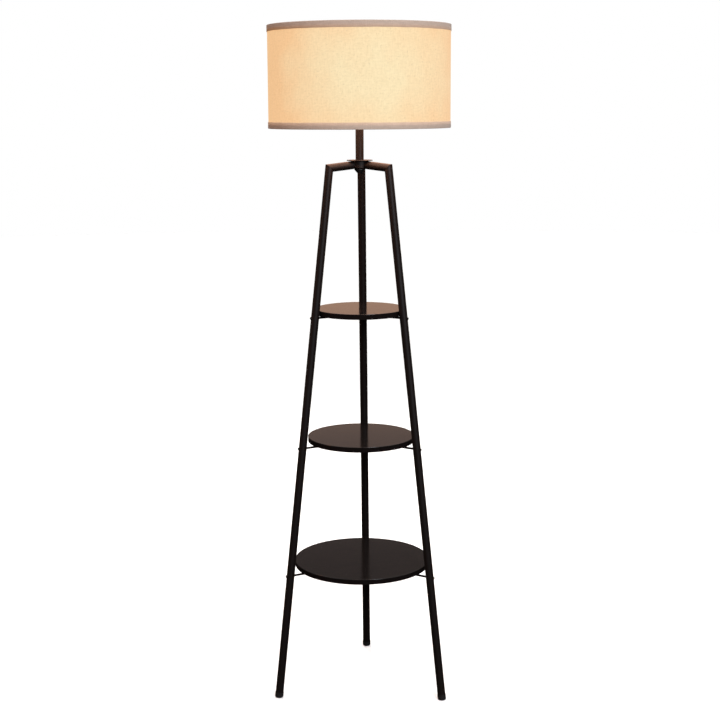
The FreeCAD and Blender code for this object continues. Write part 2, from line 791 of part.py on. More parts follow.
def switch_knob():
    """A fluted knob with a blind bore for the spindle."""
    body = new_body("switch_knob", "-90")
    sketch = new_sketch(body, "knob_profile", up=SWITCH_AXIS)
    end = "(dims.knob_start + dims.knob_length)"
    bore = "(dims.spindle_radius + dims.plug_clearance)"
    corners = [
        ("dims.knob_start", bore),
        ("dims.knob_start", "dims.knob_radius"),
        (f"{end} - dims.knob_chamfer", "dims.knob_radius"),
        (end, "dims.knob_radius - dims.knob_chamfer"),
        (end, "0"),
        (f"{end} - dims.knob_cap", "0"),
        (f"{end} - dims.knob_cap", bore),
    ]
    draw_outline(sketch, corners)
    revolve(body, "knob_turned", sketch, "H_Axis")
    flute = new_sketch(body, "flute_outline", up=SWITCH_AXIS, plane="YZ_Plane")
    draw_circle(flute, "dims.flute_radius", "0", "dims.knob_radius + dims.flute_offset")
    cut = cut_through(body, "flute", flute)
    repeat_round(body, "flutes", [cut], KNOB_FLUTES, (flute, ["N_Axis"]))


# Bulb.


def above_contact(height):
    return f"({CONTACT_TOP} + ({height}))"


CAP_BASE = above_contact("dims.bulb_contact_height + dims.seat_gap")
HOUSING_START = f"({CAP_BASE} + dims.bulb_cap_height + dims.seat_gap)"
HOUSING_TOP = f"({HOUSING_START} + dims.bulb_housing_cone + dims.bulb_housing_rim)"


def bulb_contact():
    corners = [
        ("0", above_contact("0")),
        ("dims.bulb_contact_tip_radius", above_contact("0")),
        ("dims.bulb_contact_radius", above_contact("dims.bulb_contact_height / 2")),
        ("dims.bulb_contact_radius", above_contact("dims.bulb_contact_height")),
        ("0", above_contact("dims.bulb_contact_height")),
    ]
    turned("bulb_contact", corners)


def bulb_cap():
    inner = "(dims.bulb_cap_radius - dims.bulb_cap_wall)"
    top = f"({CAP_BASE} + dims.bulb_cap_height)"
    corners = [
        ("0", CAP_BASE),
        ("dims.bulb_contact_radius", CAP_BASE),
        ("dims.bulb_cap_radius", f"{CAP_BASE} + dims.bulb_cap_cone"),
        ("dims.bulb_cap_radius", top),
        (inner, top),
        (inner, f"{CAP_BASE} + dims.bulb_cap_cone + dims.bulb_cap_wall"),
        ("dims.bulb_contact_radius", f"{CAP_BASE} + 2 * dims.bulb_cap_wall"),
        ("0", f"{CAP_BASE} + 2 * dims.bulb_cap_wall"),
    ]
    turned("bulb_cap", corners)


def bulb_housing():
    """The cone between cap and dome, hollow for the driver."""
    plug = "(dims.bulb_cap_radius - dims.bulb_cap_wall - dims.seat_gap)"
    cone_top = f"({HOUSING_START} + dims.bulb_housing_cone)"
    wall = "dims.bulb_housing_wall"
    corners = [
        (f"{plug} - {wall}", f"{HOUSING_START} - dims.bulb_housing_plug"),
        (plug, f"{HOUSING_START} - dims.bulb_housing_plug"),
        (plug, HOUSING_START),
        ("dims.bulb_housing_neck", HOUSING_START),
        ("dims.bulb_housing_top_radius", cone_top),
        ("dims.bulb_housing_top_radius", HOUSING_TOP),
        (f"dims.bulb_housing_top_radius - {wall}", HOUSING_TOP),
        (f"dims.bulb_housing_top_radius - {wall}", cone_top),
        (f"{plug} - {wall}", f"{HOUSING_START} + {wall}"),
    ]
    turned("bulb_housing", corners)


def bulb_diffuser():
    """A hollow dome that stands on the housing's rim."""
    lip = "dims.bulb_housing_top_radius"
    lip_angle = f"acos({lip} / dims.bulb_radius)"
    centre = f"({HOUSING_TOP} + dims.seat_gap + dims.bulb_radius * sin({lip_angle}))"
    outer = document.addObject("Part::Sphere", "diffuser_outside")
    outer.setExpression("Radius", "dims.bulb_radius")
    outer.setExpression("Angle1", f"-{lip_angle}")
    inner = document.addObject("Part::Sphere", "diffuser_inside")
    inner.setExpression("Radius", "dims.bulb_radius - dims.bulb_wall")
    for ball in (outer, inner):
        ball.setExpression("Placement", f"placement(vector(0; 0; {centre}); rotation(0; 0; 0))")
    dome = document.addObject("Part::Cut", "bulb_diffuser")
    dome.Label = "bulb_diffuser"
    dome.Base = outer
    dome.Tool = inner
    parts.append(dome)


# Shade.

FITTER_BASE = above_pole(f"{SKIRT_SEAT} + dims.seat_gap")
FITTER_TOP = f"({FITTER_BASE} + dims.fitter_thickness)"
SHADE_TOP = "(dims.shade_bottom + dims.shade_height)"
FABRIC_OUTER = "(dims.shade_radius - dims.trim_thickness - dims.skin_gap)"
FABRIC_INNER = f"({FABRIC_OUTER} - dims.fabric_thickness)"
LINER_OUTER = f"({FABRIC_INNER} - dims.skin_gap)"
LINER_INNER = f"({LINER_OUTER} - dims.liner_thickness)"
WIRE_PLACE = f"({LINER_INNER} - dims.skin_gap - dims.wire_radius)"
FOLD_OUTER = f"({WIRE_PLACE} - dims.wire_radius - dims.skin_gap)"
WIRE_INSET = "(dims.trim_thickness + dims.skin_gap + dims.wire_radius)"
LOWER_WIRE = f"(dims.shade_bottom + {WIRE_INSET})"
UPPER_WIRE = f"({SHADE_TOP} - {WIRE_INSET})"


def trim(label, edge, inward):
    """A ribbon folded over the drum's edge, wide outside and narrow inside; inward is the fold's sign."""
    web = f"({edge} {inward} dims.trim_thickness)"
    corners = [
        ("dims.shade_radius", edge),
        ("dims.shade_radius", f"{edge} {inward} dims.trim_width"),
        ("dims.shade_radius - dims.trim_thickness", f"{edge} {inward} dims.trim_width"),
        ("dims.shade_radius - dims.trim_thickness", web),
        (FOLD_OUTER, web),
        (FOLD_OUTER, f"{edge} {inward} dims.trim_fold"),
        (f"{FOLD_OUTER} - dims.trim_thickness", f"{edge} {inward} dims.trim_fold"),
        (f"{FOLD_OUTER} - dims.trim_thickness", edge),
    ]
    return turned(label, corners, leg_turn("back"))


def bottom_trim():
    """The lower ribbon, notched inside where the spokes reach the wire."""
    body = trim("bottom_trim", "dims.shade_bottom", "+")
    sketch = new_sketch(body, "notch_outline", FOLD_OUTER, "dims.shade_bottom + dims.trim_thickness")
    draw_box(sketch, "-3 * dims.trim_thickness", "dims.wire_radius", "0", "dims.trim_fold")
    notch = cut_slot(body, "notch", sketch, "dims.notch_width")
    repeat_round(body, "notches", [notch])


def wire_ring(label, height):
    ring = document.addObject("Part::Torus", label)
    ring.Label = label
    ring.setExpression("Radius1", WIRE_PLACE)
    ring.setExpression("Radius2", "dims.wire_radius")
    ring.setExpression("Placement", f"placement(vector(0; 0; {height}); rotation(0; 0; 0))")
    parts.append(ring)


def spoke(leg):
    """A wire from the fitter ring down to the lower wire ring."""
    label = f"fitter_spoke_{leg}"
    body = new_body(label, leg_turn(leg))
    start = "(dims.fitter_outer_radius + dims.spoke_radius / 2)"
    height = f"(({FITTER_BASE} + {FITTER_TOP}) / 2)"
    run = f"({WIRE_PLACE} - {start})"
    fall = f"({height} - {LOWER_WIRE})"
    sketch = new_sketch(body, f"{label}_profile", start, height, f"-atan({fall} / {run})")
    end = f"(({run}^2 + {fall}^2)^0.5 - dims.wire_radius - dims.skin_gap)"
    draw_box(sketch, "0", end, "0", "dims.spoke_radius")
    revolve(body, f"{label}_turned", sketch, "H_Axis")


def ring_nut():
    """The nut that clamps the fitter ring, with grip flutes round its rim."""
    base = f"({FITTER_TOP} + dims.seat_gap)"
    inner = "dims.skirt_radius + dims.running_clearance"
    top = f"{base} + dims.ring_nut_height"
    body = sleeve("shade_ring_nut", inner, "dims.ring_nut_radius", base, top)
    grip = new_sketch(body, "grip_outline", plane="XY_Plane")
    grip_place = "dims.ring_nut_radius + dims.ring_nut_grip_offset"
    draw_circle(grip, "dims.ring_nut_grip_radius", grip_place)
    cut = cut_through(body, "grip", grip)
    repeat_round(body, "grips", [cut], RING_NUT_GRIPS)


def build_frame():
    sole = "dims.foot_height"
    lower = along_leg("dims.lower_joint_height")
    upper = along_leg("dims.upper_joint_height")
    past_corner = f"({along_leg('dims.corner_height')} + dims.tube_radius)"
    for leg in LEGS:
        foot_cap(leg)
        leg_section("lower", leg, "bottom", sole, lower)
        leg_section("middle", leg, "middle", lower, upper)
        leg_section("upper", leg, "top", upper, past_corner, mitred=True)
        arm(leg)
    leg_joints()


def build_shelves():
    for tier in TIERS:
        shelf(tier)
        for leg in LEGS:
            support(tier, leg)
    leg_screws()
    board_screws()


def build_hub():
    hub_body()
    grub_screws()
    hub_cover()
    cord_gland()
    pipe_bore = "dims.pipe_radius - dims.pipe_wall"
    pipe_base = f"{GLAND_FLOOR} + dims.seat_gap"
    sleeve("lamp_pipe", pipe_bore, "dims.pipe_radius", pipe_base, PIPE_TOP)
    sleeve("pole", BORE, "dims.tube_radius", POLE_BASE, "dims.pole_top")


def build_socket():
    socket_cap()
    socket_body()
    socket_insulator()
    centre_contact()
    screw_shell()
    switch_block()
    switch_spindle()
    switch_knob()


def build_bulb():
    bulb_contact()
    bulb_cap()
    bulb_housing()
    bulb_diffuser()


def build_shade():
    skin_low = "dims.shade_bottom + dims.trim_thickness + dims.skin_gap"
    skin_high = f"{SHADE_TOP} - dims.trim_thickness - dims.skin_gap"
    sleeve("shade_fabric", FABRIC_INNER, FABRIC_OUTER, skin_low, skin_high)
    sleeve("shade_liner", LINER_INNER, LINER_OUTER, skin_low, skin_high)
    trim("top_trim", SHADE_TOP, "-")
    bottom_trim()
    wire_ring("upper_wire_ring", UPPER_WIRE)
    wire_ring("lower_wire_ring", LOWER_WIRE)
    sleeve("fitter_ring", "dims.fitter_inner_radius", "dims.fitter_outer_radius", FITTER_BASE, FITTER_TOP)
    for leg in LEGS:
        spoke(leg)
    ring_nut()


def check_and_write():
    """Stop at any failed feature or bad shape, then write one file for each piece."""
    document.recompute()
    for item in document.Objects:
        if "Invalid" in item.State or "Error" in item.State:
            raise RuntimeError(f"{item.Name} failed: {item.State}")
    for part in parts:
        if part.Shape.isNull() or not part.Shape.isValid() or not part.Shape.Solids:
            raise RuntimeError(f"{part.Label} has no valid solid")
    os.makedirs("parts", exist_ok=True)
    for part in parts:
        part.Shape.exportStep(f"parts/{part.Label}.step")
        print(part.Label, len(part.Shape.Solids), round(part.Shape.Volume, 1))


build_frame()
build_shelves()
build_hub()
build_socket()
build_bulb()
build_shade()
check_and_write()
print(len(parts), "pieces")
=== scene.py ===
"""Looks, stage and camera of the shelf floor lamp, laid out as an add-on and run as a script.

Metres, +Z up. The back leg stands on +Y and the camera looks from -Y. Every CAD node keeps its
place and gets the finish of the real piece. The linen, its trims and the screws are built here,
because their folds, laps and driver slots are finer than the solids.
"""

import math

import bmesh
import bpy
from mathutils import Matrix, Vector


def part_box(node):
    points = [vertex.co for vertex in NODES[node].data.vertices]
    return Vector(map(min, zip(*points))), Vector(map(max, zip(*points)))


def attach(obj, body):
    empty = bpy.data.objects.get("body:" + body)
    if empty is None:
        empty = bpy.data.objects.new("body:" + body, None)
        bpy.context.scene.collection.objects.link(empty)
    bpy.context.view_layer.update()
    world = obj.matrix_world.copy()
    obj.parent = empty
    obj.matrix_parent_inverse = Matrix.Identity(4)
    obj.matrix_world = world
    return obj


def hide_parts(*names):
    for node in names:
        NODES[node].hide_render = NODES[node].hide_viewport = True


bl_info = {
    "name": "Shelf floor lamp",
    "version": (1, 0, 0),
    "blender": (4, 5, 0),
    "location": "3D View > Sidebar > Lamp",
    "description": "Finishes the pieces of a floor lamp with three shelves and sets up its studio",
    "category": "Object",
}

MM = 0.001
LEGS = ("back", "left", "right")
LEG_TURNS = (90, 210, 330)
TIERS = ("bottom", "middle", "top")


def linear(code):
    """Linear red, green, blue and alpha of an sRGB hex colour."""
    parts = [int(code[i : i + 2], 16) / 255 for i in (1, 3, 5)]
    return (*[p / 12.92 if p <= 0.04045 else ((p + 0.055) / 1.055) ** 2.4 for p in parts], 1.0)


# How strongly the lit pieces shine, where 1 is white paper in the studio's light.
DOME_LIGHT = 0.7
LINEN_LIGHT = 0.8
TRIM_LIGHT = 0.15
FILM_LIGHT = 0.6

# The camera: a long lens at table height, turned a little to the right of the front. Angles are
# in degrees, lengths in metres, the lens and its sensor in millimetres.
CAMERA_TURN = 2.86
CAMERA_PITCH = 10.29
CAMERA_ROLL = -0.32
CAMERA_DISTANCE = 3.131
CAMERA_HEIGHT = 1.331
CAMERA_SHIFT = (-0.0011, 0.0005)
CAMERA_LENS = 70.5
CAMERA_SENSOR = 36.0
CAMERA_REACH = 100.0

# The studio: white wherever the camera looks, and for the lamp a ring of tones, each from an
# elevation in degrees. A warm band lies low, and the ceiling is bright.
FLOOR_RADIUS = 12.0
FLOOR_SIDES = 96
SKY_LIGHT = 1.6
STUDIO_BANDS = (
    (3.0, linear("#1a1716")),
    (6.0, linear("#bf9982")),
    (9.0, linear("#bf9982")),
    (14.0, linear("#6d6361")),
    (19.0, linear("#443f3e")),
    (30.0, linear("#77736f")),
    (45.0, linear("#ffffff")),
)
# Each light: name, place, aim, width, watts, colour, and whether the lamp mirrors it. The spill
# is the bulb's light that leaves the shade downwards.
SOFTBOXES = (
    ("key", (1.3, -2.5, 1.9), (0, 0, 1.1), 1.2, 72.0, "#f4f6ff", True),
    ("fill", (-2.6, -0.8, 1.6), (0, 0, 1.1), 0.8, 11.0, "#ff9c6a", True),
    ("back_fill", (-0.6, 2.8, 2.0), (0, 0, 1.2), 1.2, 60.0, "#fff4ee", False),
    ("bulb_spill", (0, 0, 1.3), (0, 0, 0), 0.34, 2.8, "#ffc0a0", True),
)

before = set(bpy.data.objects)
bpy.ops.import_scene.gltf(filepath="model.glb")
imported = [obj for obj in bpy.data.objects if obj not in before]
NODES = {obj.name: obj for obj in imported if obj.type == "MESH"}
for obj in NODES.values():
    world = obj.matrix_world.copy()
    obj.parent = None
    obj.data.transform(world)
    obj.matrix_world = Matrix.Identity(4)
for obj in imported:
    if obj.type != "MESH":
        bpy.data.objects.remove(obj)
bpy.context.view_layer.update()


def radii(name):
    """Least and greatest distance of a round node's corners from the pole's axis."""
    reach = [math.hypot(v.co.x, v.co.y) for v in NODES[name].data.vertices]
    return min(reach), max(reach)


SHADE_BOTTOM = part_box("bottom_trim")[0].z
SHADE_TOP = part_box("top_trim")[1].z
SHADE_MIDDLE = (SHADE_BOTTOM + SHADE_TOP) / 2
SKIN_LOW, SKIN_HIGH = (corner.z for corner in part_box("shade_fabric"))
SKIN_INNER, SKIN_OUTER = radii("shade_fabric")
TRIM_INNER, TRIM_OUTER = radii("top_trim")
DOME_LOW, DOME_HIGH = (corner.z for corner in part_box("bulb_diffuser"))


def colour_property(name, description, code):
    return bpy.props.FloatVectorProperty(
        name=name,
        description=description,
        subtype="COLOR",
        size=4,
        min=0.0,
        max=1.0,
        default=linear(code),
    )


def length_property(name, description, default):
    return bpy.props.FloatProperty(
        name=name, description=description, default=default, min=0.0, unit="LENGTH", precision=5
    )


class LampSizes(bpy.types.PropertyGroup):
    """Sizes of the pieces that are built here."""

    cloth_thickness: length_property("Cloth", "Thickness of the shade's linen", 0.28 * MM)
    cloth_lap: length_property("Cloth lap", "Width of the lapped seam at the back", 12 * MM)
    thread_spacing: length_property("Threads", "Distance between the linen's threads", 0.9 * MM)
    slub_length: length_property("Slub length", "Length of a thick place in a thread", 9 * MM)
    trim_width: length_property("Trim width", "Width of the ribbon on the outside", 14 * MM)
    trim_fold: length_property("Trim fold", "Width of the ribbon on the inside", 10 * MM)
    trim_thickness: length_property("Trim thickness", "Thickness of the doubled ribbon", 0.8 * MM)
    trim_lap: length_property("Trim lap", "Overlap of the ribbon's ends at the back", 9 * MM)
    trim_notch: length_property("Trim notch", "Width cut from the fold for each spoke", 6 * MM)
    recess_width: length_property("Driver slot", "Width of a slot in a screw head", 0.75 * MM)
    recess_depth: length_property("Slot depth", "Depth of the slots in a screw head", 1.1 * MM)


class LampColours(bpy.types.PropertyGroup):
    """Colours of the finishes."""

    coat: colour_property("Powder coat", "Satin coat on tubes, hub and rods", "#120d0c")
    board: colour_property("Board foil", "Foil on the shelves", "#14100f")
    rubber: colour_property("Rubber", "Moulded feet", "#141313")
    plastic: colour_property("Black plastic", "Socket, gland, knob and ring nut", "#161515")
    zinc: colour_property("Zinc plate", "Studs, inserts and screws", "#b9bab8")
    brass: colour_property("Brass", "Shell, contact and spindle", "#d3ad6b")
    porcelain: colour_property("Porcelain", "Glazed insulator", "#e9e5dc")
    nickel: colour_property("Nickel", "Cap of the bulb", "#cfcdc8")
    housing: colour_property("Bulb housing", "White moulded plastic", "#e6e4de")
    opal: colour_property("Opal dome", "Dome of the bulb", "#cfc6b8")
    glow: colour_property("Glow", "Light through the middle of the linen", "#ffebbc")
    edge_glow: colour_property("Edge glow", "Light through the linen far from the bulb", "#ffcf98")
    linen: colour_property("Linen", "Undyed linen thread", "#766b5b")
    slub: colour_property("Slub", "Thick darker places in the thread", "#625440")
    trim: colour_property("Trim", "Taupe ribbon", "#bca999")
    film: colour_property("Film", "White lining of the shade", "#d8ccb8")
    film_glow: colour_property("Film glow", "Light that leaves the lining", "#ffd6a6")
    trim_glow: colour_property("Trim glow", "Light through the single ribbon", "#ffb262")
    wire: colour_property("Wire coat", "White coat on the shade's wires", "#e4e2dd")
    floor: colour_property("Floor", "Pale studio floor", "#fcfcfb")


# Shared steps for materials.

# Most of a noise's values lie between these, and the rest is held at them.
NOISE_SPAN = {"From Min": 0.3, "From Max": 0.7}
# The sockets of a Mix node that blends two colours.
SHARE, FIRST, SECOND = 0, 6, 7


def add_node(tree, kind, inputs=None, **settings):
    """Add a shader node with its settings and links.

    An input is a plain value, an output of another node, or a node for its first open output.
    """
    node = tree.nodes.new("ShaderNode" + kind)
    for name, value in settings.items():
        setattr(node, name, value)
    for name, value in (inputs or {}).items():
        if isinstance(value, bpy.types.Node):
            value = next(output for output in value.outputs if output.enabled)
        if isinstance(value, bpy.types.NodeSocket):
            tree.links.new(value, node.inputs[name])
        else:
            node.inputs[name].default_value = value
    return node


def new_material(name):
    """A material and its empty tree."""
    material = bpy.data.materials.new(name)
    material.use_nodes = True
    material.node_tree.nodes.clear()
    return material, material.node_tree


def end_in_shader(tree, inputs):
    """Close a tree with a Principled shader that has these inputs."""
    shader = add_node(tree, "BsdfPrincipled", inputs)
    add_node(tree, "OutputMaterial", {"Surface": shader})


def deeper(colour, share):
    """A colour with a share of its light."""
    return (*[channel * share for channel in colour[:3]], 1.0)


def finished(
    name, colour, contrast, roughness, grain_mm, depth_mm, stretch=(1, 1, 1), constants=None
):
    """A material whose colour, roughness and relief follow one grain.

    The grain has a size and a depth in millimetres, and stretch narrows it along an axis. Its
    hollows keep a share, the contrast, of the colour's light. The constants are further inputs.
    """
    material, tree = new_material(name)
    place = add_node(tree, "TexCoord").outputs["Object"]
    mapping = add_node(tree, "Mapping", {"Vector": place, "Scale": stretch})
    size = {"Scale": 1 / (grain_mm * MM), "Detail": 3.0, "Roughness": 0.55}
    grain = add_node(tree, "TexNoise", {"Vector": mapping, **size})
    share = add_node(tree, "MapRange", {"Value": grain, **NOISE_SPAN})
    ends = {FIRST: deeper(colour, contrast), SECOND: tuple(colour)}
    shade = add_node(tree, "Mix", {SHARE: share, **ends}, data_type="RGBA")
    ends = {"To Min": roughness[0], "To Max": roughness[1]}
    rough = add_node(tree, "MapRange", {"Value": grain, **NOISE_SPAN, **ends})
    bump = add_node(tree, "Bump", {"Height": grain, "Distance": depth_mm * MM, "Strength": 1.0})
    end_in_shader(
        tree, {"Base Color": shade, "Roughness": rough, "Normal": bump, **(constants or {})}
    )
    return material


def wear(material, *names):
    """Give CAD nodes a material in all their slots."""
    for name in names:
        mesh = NODES[name].data
        if not mesh.materials:
            mesh.materials.append(material)
        for slot in range(len(mesh.materials)):
            mesh.materials[slot] = material


def new_piece(name, fill, material):
    """A smooth object whose mesh is filled by a function that takes a bmesh."""
    mesh = bpy.data.meshes.new(name)
    shape = bmesh.new()
    fill(shape)
    bmesh.ops.recalc_face_normals(shape, faces=shape.faces)
    shape.to_mesh(mesh)
    shape.free()
    mesh.materials.append(material)
    for face in mesh.polygons:
        face.use_smooth = True
    piece = bpy.data.objects.new(name, mesh)
    bpy.context.scene.collection.objects.link(piece)
    return piece


# Frame: tubes, feet, shelves and screws.


class LAMP_OT_coat_frame(bpy.types.Operator):
    """Coat the tubes, hub and support rods"""

    bl_idname = "lamp.coat_frame"
    bl_label = "Coat the frame"

    def execute(self, context):
        # Powder coat, sprayed and baked on steel tube: near black, satin, with a faint orange
        # peel. The real peel is 0.5 mm; it is drawn at 2 mm so that it shows in the highlight.
        coat = finished(
            "powder_coated_steel",
            context.scene.lamp_colours.coat,
            contrast=0.8,
            roughness=(0.45, 0.55),
            grain_mm=2.0,
            depth_mm=0.02,
            constants={"Specular IOR Level": 0.15},
        )
        legs = [f"{part}_leg_{leg}" for part in ("lower", "middle", "upper") for leg in LEGS]
        arms = [f"arm_{leg}" for leg in LEGS]
        rods = [f"{tier}_support_{leg}" for tier in TIERS for leg in LEGS]
        wear(coat, *legs, *arms, *rods, "hub_body", "hub_cover", "pole")
        return {"FINISHED"}


class LAMP_OT_fit_feet(bpy.types.Operator):
    """Finish the rubber feet"""

    bl_idname = "lamp.fit_feet"
    bl_label = "Fit the feet"

    def execute(self, context):
        # Rubber, pressed in a blasted mould: dull, with a soft sheen only where it curves. The
        # blasting leaves pits of 0.2 mm; they are drawn at 1.5 mm, or they wouldn't show.
        rubber = finished(
            "moulded_rubber",
            context.scene.lamp_colours.rubber,
            contrast=0.75,
            roughness=(0.65, 0.8),
            grain_mm=1.5,
            depth_mm=0.03,
            constants={"Specular IOR Level": 0.3},
        )
        wear(rubber, *[f"foot_cap_{leg}" for leg in LEGS])
        return {"FINISHED"}


class LAMP_OT_face_shelves(bpy.types.Operator):
    """Face the shelves with their foil"""

    bl_idname = "lamp.face_shelves"
    bl_label = "Face the shelves"

    def execute(self, context):
        # Board pressed with a smooth near-black foil: semi-gloss, so that at a low angle it
        # mirrors the legs and the light behind it. Its grain is 60 mm long and 2 mm wide.
        foil = finished(
            "foil_faced_board",
            context.scene.lamp_colours.board,
            contrast=0.7,
            roughness=(0.1, 0.16),
            grain_mm=60.0,
            depth_mm=0.01,
            stretch=(1, 30, 1),
            constants={"Specular IOR Level": 0.3},
        )
        wear(foil, *[f"{tier}_shelf" for tier in TIERS])
        return {"FINISHED"}


class LAMP_OT_plate_joints(bpy.types.Operator):
    """Plate the studs, inserts and pipe"""

    bl_idname = "lamp.plate_joints"
    bl_label = "Plate the joints"

    def execute(self, context):
        # Turned steel, zinc plated in a barrel: bright grey, with a lustre that is cloudy in
        # patches of about 3 mm.
        zinc = finished(
            "barrel_plated_zinc",
            context.scene.lamp_colours.zinc,
            contrast=0.82,
            roughness=(0.28, 0.42),
            grain_mm=3.0,
            depth_mm=0.01,
            constants={"Metallic": 1.0},
        )
        wear(zinc, "leg_inserts", "leg_studs", "lamp_pipe", "arm_grub_screws")
        return {"FINISHED"}


# A pan-head screw: how much of the head's height is rounded, how far the driver's slots reach
# towards its edge, how much they narrow to their bottom, and how much of the shank is its point.
CROWN_SHARE = 0.55
SLOT_SHARE = 0.55
SLOT_TAPER = 0.55
POINT_SHARE = 0.5
CROWN_STEPS = 6
SCREW_SIDES = 32
SCREW_CREASE = math.radians(40)
# A leg's screw lies this near the leg's own plane, and this near its shelf's underside.
PLANE_REACH = 5 * MM
SHELF_REACH = 12 * MM


def screw_outline(length, head_radius, head_height, shank_radius):
    """Half outline of a pan-head screw, head top at zero and shank downwards."""
    crown = head_height * CROWN_SHARE
    point = shank_radius * POINT_SHARE
    quarter = [math.pi / 2 * i / CROWN_STEPS for i in range(CROWN_STEPS + 1)]
    dome = [
        (head_radius - crown * (1 - math.sin(a)), -crown * (1 - math.cos(a))) for a in quarter
    ]
    return [
        (0.0, 0.0),
        *dome,
        (head_radius, -head_height),
        (shank_radius, -head_height),
        (shank_radius, -length + point),
        (point, -length),
        (0.0, -length),
    ]


def fill_turned(shape, outline):
    """Turn a half outline of (radius, height) round Z into a closed skin."""
    turns = [math.tau * i / SCREW_SIDES for i in range(SCREW_SIDES)]
    rings = []
    for radius, height in outline:
        spots = [(radius * math.cos(a), radius * math.sin(a)) for a in turns if radius]
        rings.append([shape.verts.new((x, y, height)) for x, y in spots or [(0, 0)]])
    for lower, upper in zip(rings, rings[1:]):
        for i in range(SCREW_SIDES):
            j = i + 1
            corners = [
                lower[i % len(lower)],
                lower[j % len(lower)],
                upper[j % len(upper)],
                upper[i % len(upper)],
            ]
            shape.faces.new(list(dict.fromkeys(corners)))


def fill_cross(shape, width, reach, depth):
    """A tapering plus-shaped plug that stands above zero and narrows to a depth below it."""
    half = width / 2
    arm = [(half, half), (half, reach), (-half, reach)]
    plus = []
    for _ in range(4):
        plus += arm
        arm = [(-y, x) for x, y in arm]
    top = [shape.verts.new((x, y, depth)) for x, y in plus]
    base = [shape.verts.new((x * SLOT_TAPER, y * SLOT_TAPER, -depth)) for x, y in plus]
    shape.faces.new(top)
    shape.faces.new(base)
    for i in range(len(plus)):
        j = (i + 1) % len(plus)
        shape.faces.new([top[i], top[j], base[j], base[i]])


def slotted_screw(sizes, material, length, head_radius, head_height, shank_radius):
    """The mesh of one pan-head screw with a cross recess, head top at zero."""
    outline = screw_outline(length, head_radius, head_height, shank_radius)
    screw = new_piece("screw_blank", lambda shape: fill_turned(shape, outline), material)
    reach = head_radius * SLOT_SHARE
    cross = new_piece(
        "cross_cutter",
        lambda shape: fill_cross(shape, sizes.recess_width, reach, sizes.recess_depth),
        material,
    )
    cut = screw.modifiers.new("recess", "BOOLEAN")
    cut.operation = "DIFFERENCE"
    cut.solver = "EXACT"
    cut.object = cross
    graph = bpy.context.evaluated_depsgraph_get()
    mesh = bpy.data.meshes.new_from_object(screw.evaluated_get(graph))
    bpy.data.objects.remove(cross)
    bpy.data.objects.remove(screw)
    return mesh


def fill_copies(shape, mesh, places):
    """Add a copy of a mesh at each place given as a matrix."""
    for place in places:
        before = set(shape.verts)
        shape.from_mesh(mesh)
        fresh = [v for v in shape.verts if v not in before]
        bmesh.ops.transform(shape, matrix=place, verts=fresh)


def screw_corners(node, turn, tier):
    """The corners of the box round one screw of a node, in its leg's own directions."""
    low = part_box(f"{tier}_shelf")[0].z
    back = Matrix.Rotation(-math.radians(turn), 3, "Z")
    points = [back @ v.co for v in NODES[node].data.vertices]
    mine = [
        p for p in points if abs(p.y) < PLANE_REACH and p.x > 0 and abs(p.z - low) < SHELF_REACH
    ]
    least = Vector([min(p[i] for p in mine) for i in range(3)])
    most = Vector([max(p[i] for p in mine) for i in range(3)])
    return least, most


class LAMP_OT_make_screws(bpy.types.Operator):
    """Build the pan-head screws in the legs and under the shelves"""

    bl_idname = "lamp.make_screws"
    bl_label = "Make the screws"

    def execute(self, context):
        # Steel screws, blackened in hot oil: dark, with a soft gloss on the crown. The etched
        # grain is 0.1 mm and is drawn at 1 mm.
        black = finished(
            "oil_blackened_steel",
            context.scene.lamp_colours.coat,
            contrast=0.7,
            roughness=(0.35, 0.5),
            grain_mm=1.0,
            depth_mm=0.01,
            constants={"Specular IOR Level": 0.2},
        )
        # Wood screws, zinc plated in a barrel: brighter than the tabs that they hold, and cloudy
        # in patches of about 1 mm.
        zinc = finished(
            "plated_wood_screw",
            context.scene.lamp_colours.zinc,
            contrast=0.8,
            roughness=(0.3, 0.45),
            grain_mm=1.0,
            depth_mm=0.01,
            constants={"Metallic": 1.0},
        )
        # The sizes are the head's radius and height and the shank's radius, in millimetres.
        for node, name, slot, material, sizes_mm in (
            ("leg_screws", "slotted_leg_screws", "black_steel", black, (3.0, 2.2, 1.5)),
            ("board_screws", "slotted_board_screws", "zinc_steel", zinc, (3.5, 2.0, 1.75)),
        ):
            sizes = [size * MM for size in sizes_mm]
            places, length = self.screw_places(node)
            mesh = slotted_screw(context.scene.lamp_sizes, material, length, *sizes)
            piece = new_piece(
                name, lambda shape, one=mesh, at=places: fill_copies(shape, one, at), material
            )
            piece.data.set_sharp_from_angle(angle=SCREW_CREASE)
            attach(piece, "stand")
            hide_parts(node)
        return {"FINISHED"}

    def screw_places(self, node):
        """Where a node's nine screws sit and point, and their length."""
        places, length = [], 0.0
        for tier in TIERS:
            for turn in LEG_TURNS:
                least, most = screw_corners(node, turn, tier)
                leg = Matrix.Rotation(math.radians(turn), 4, "Z")
                middle = (least + most) / 2
                if node == "leg_screws":
                    length = most.x - least.x
                    head = Matrix.Translation((most.x, 0, middle.z))
                    aim = Matrix.Rotation(math.pi / 2, 4, "Y")
                else:
                    length = most.z - least.z
                    head = Matrix.Translation((middle.x, 0, least.z))
                    aim = Matrix.Rotation(math.pi, 4, "Y")
                places.append(leg @ head @ aim)
        return places, length


# Socket, switch and bulb.


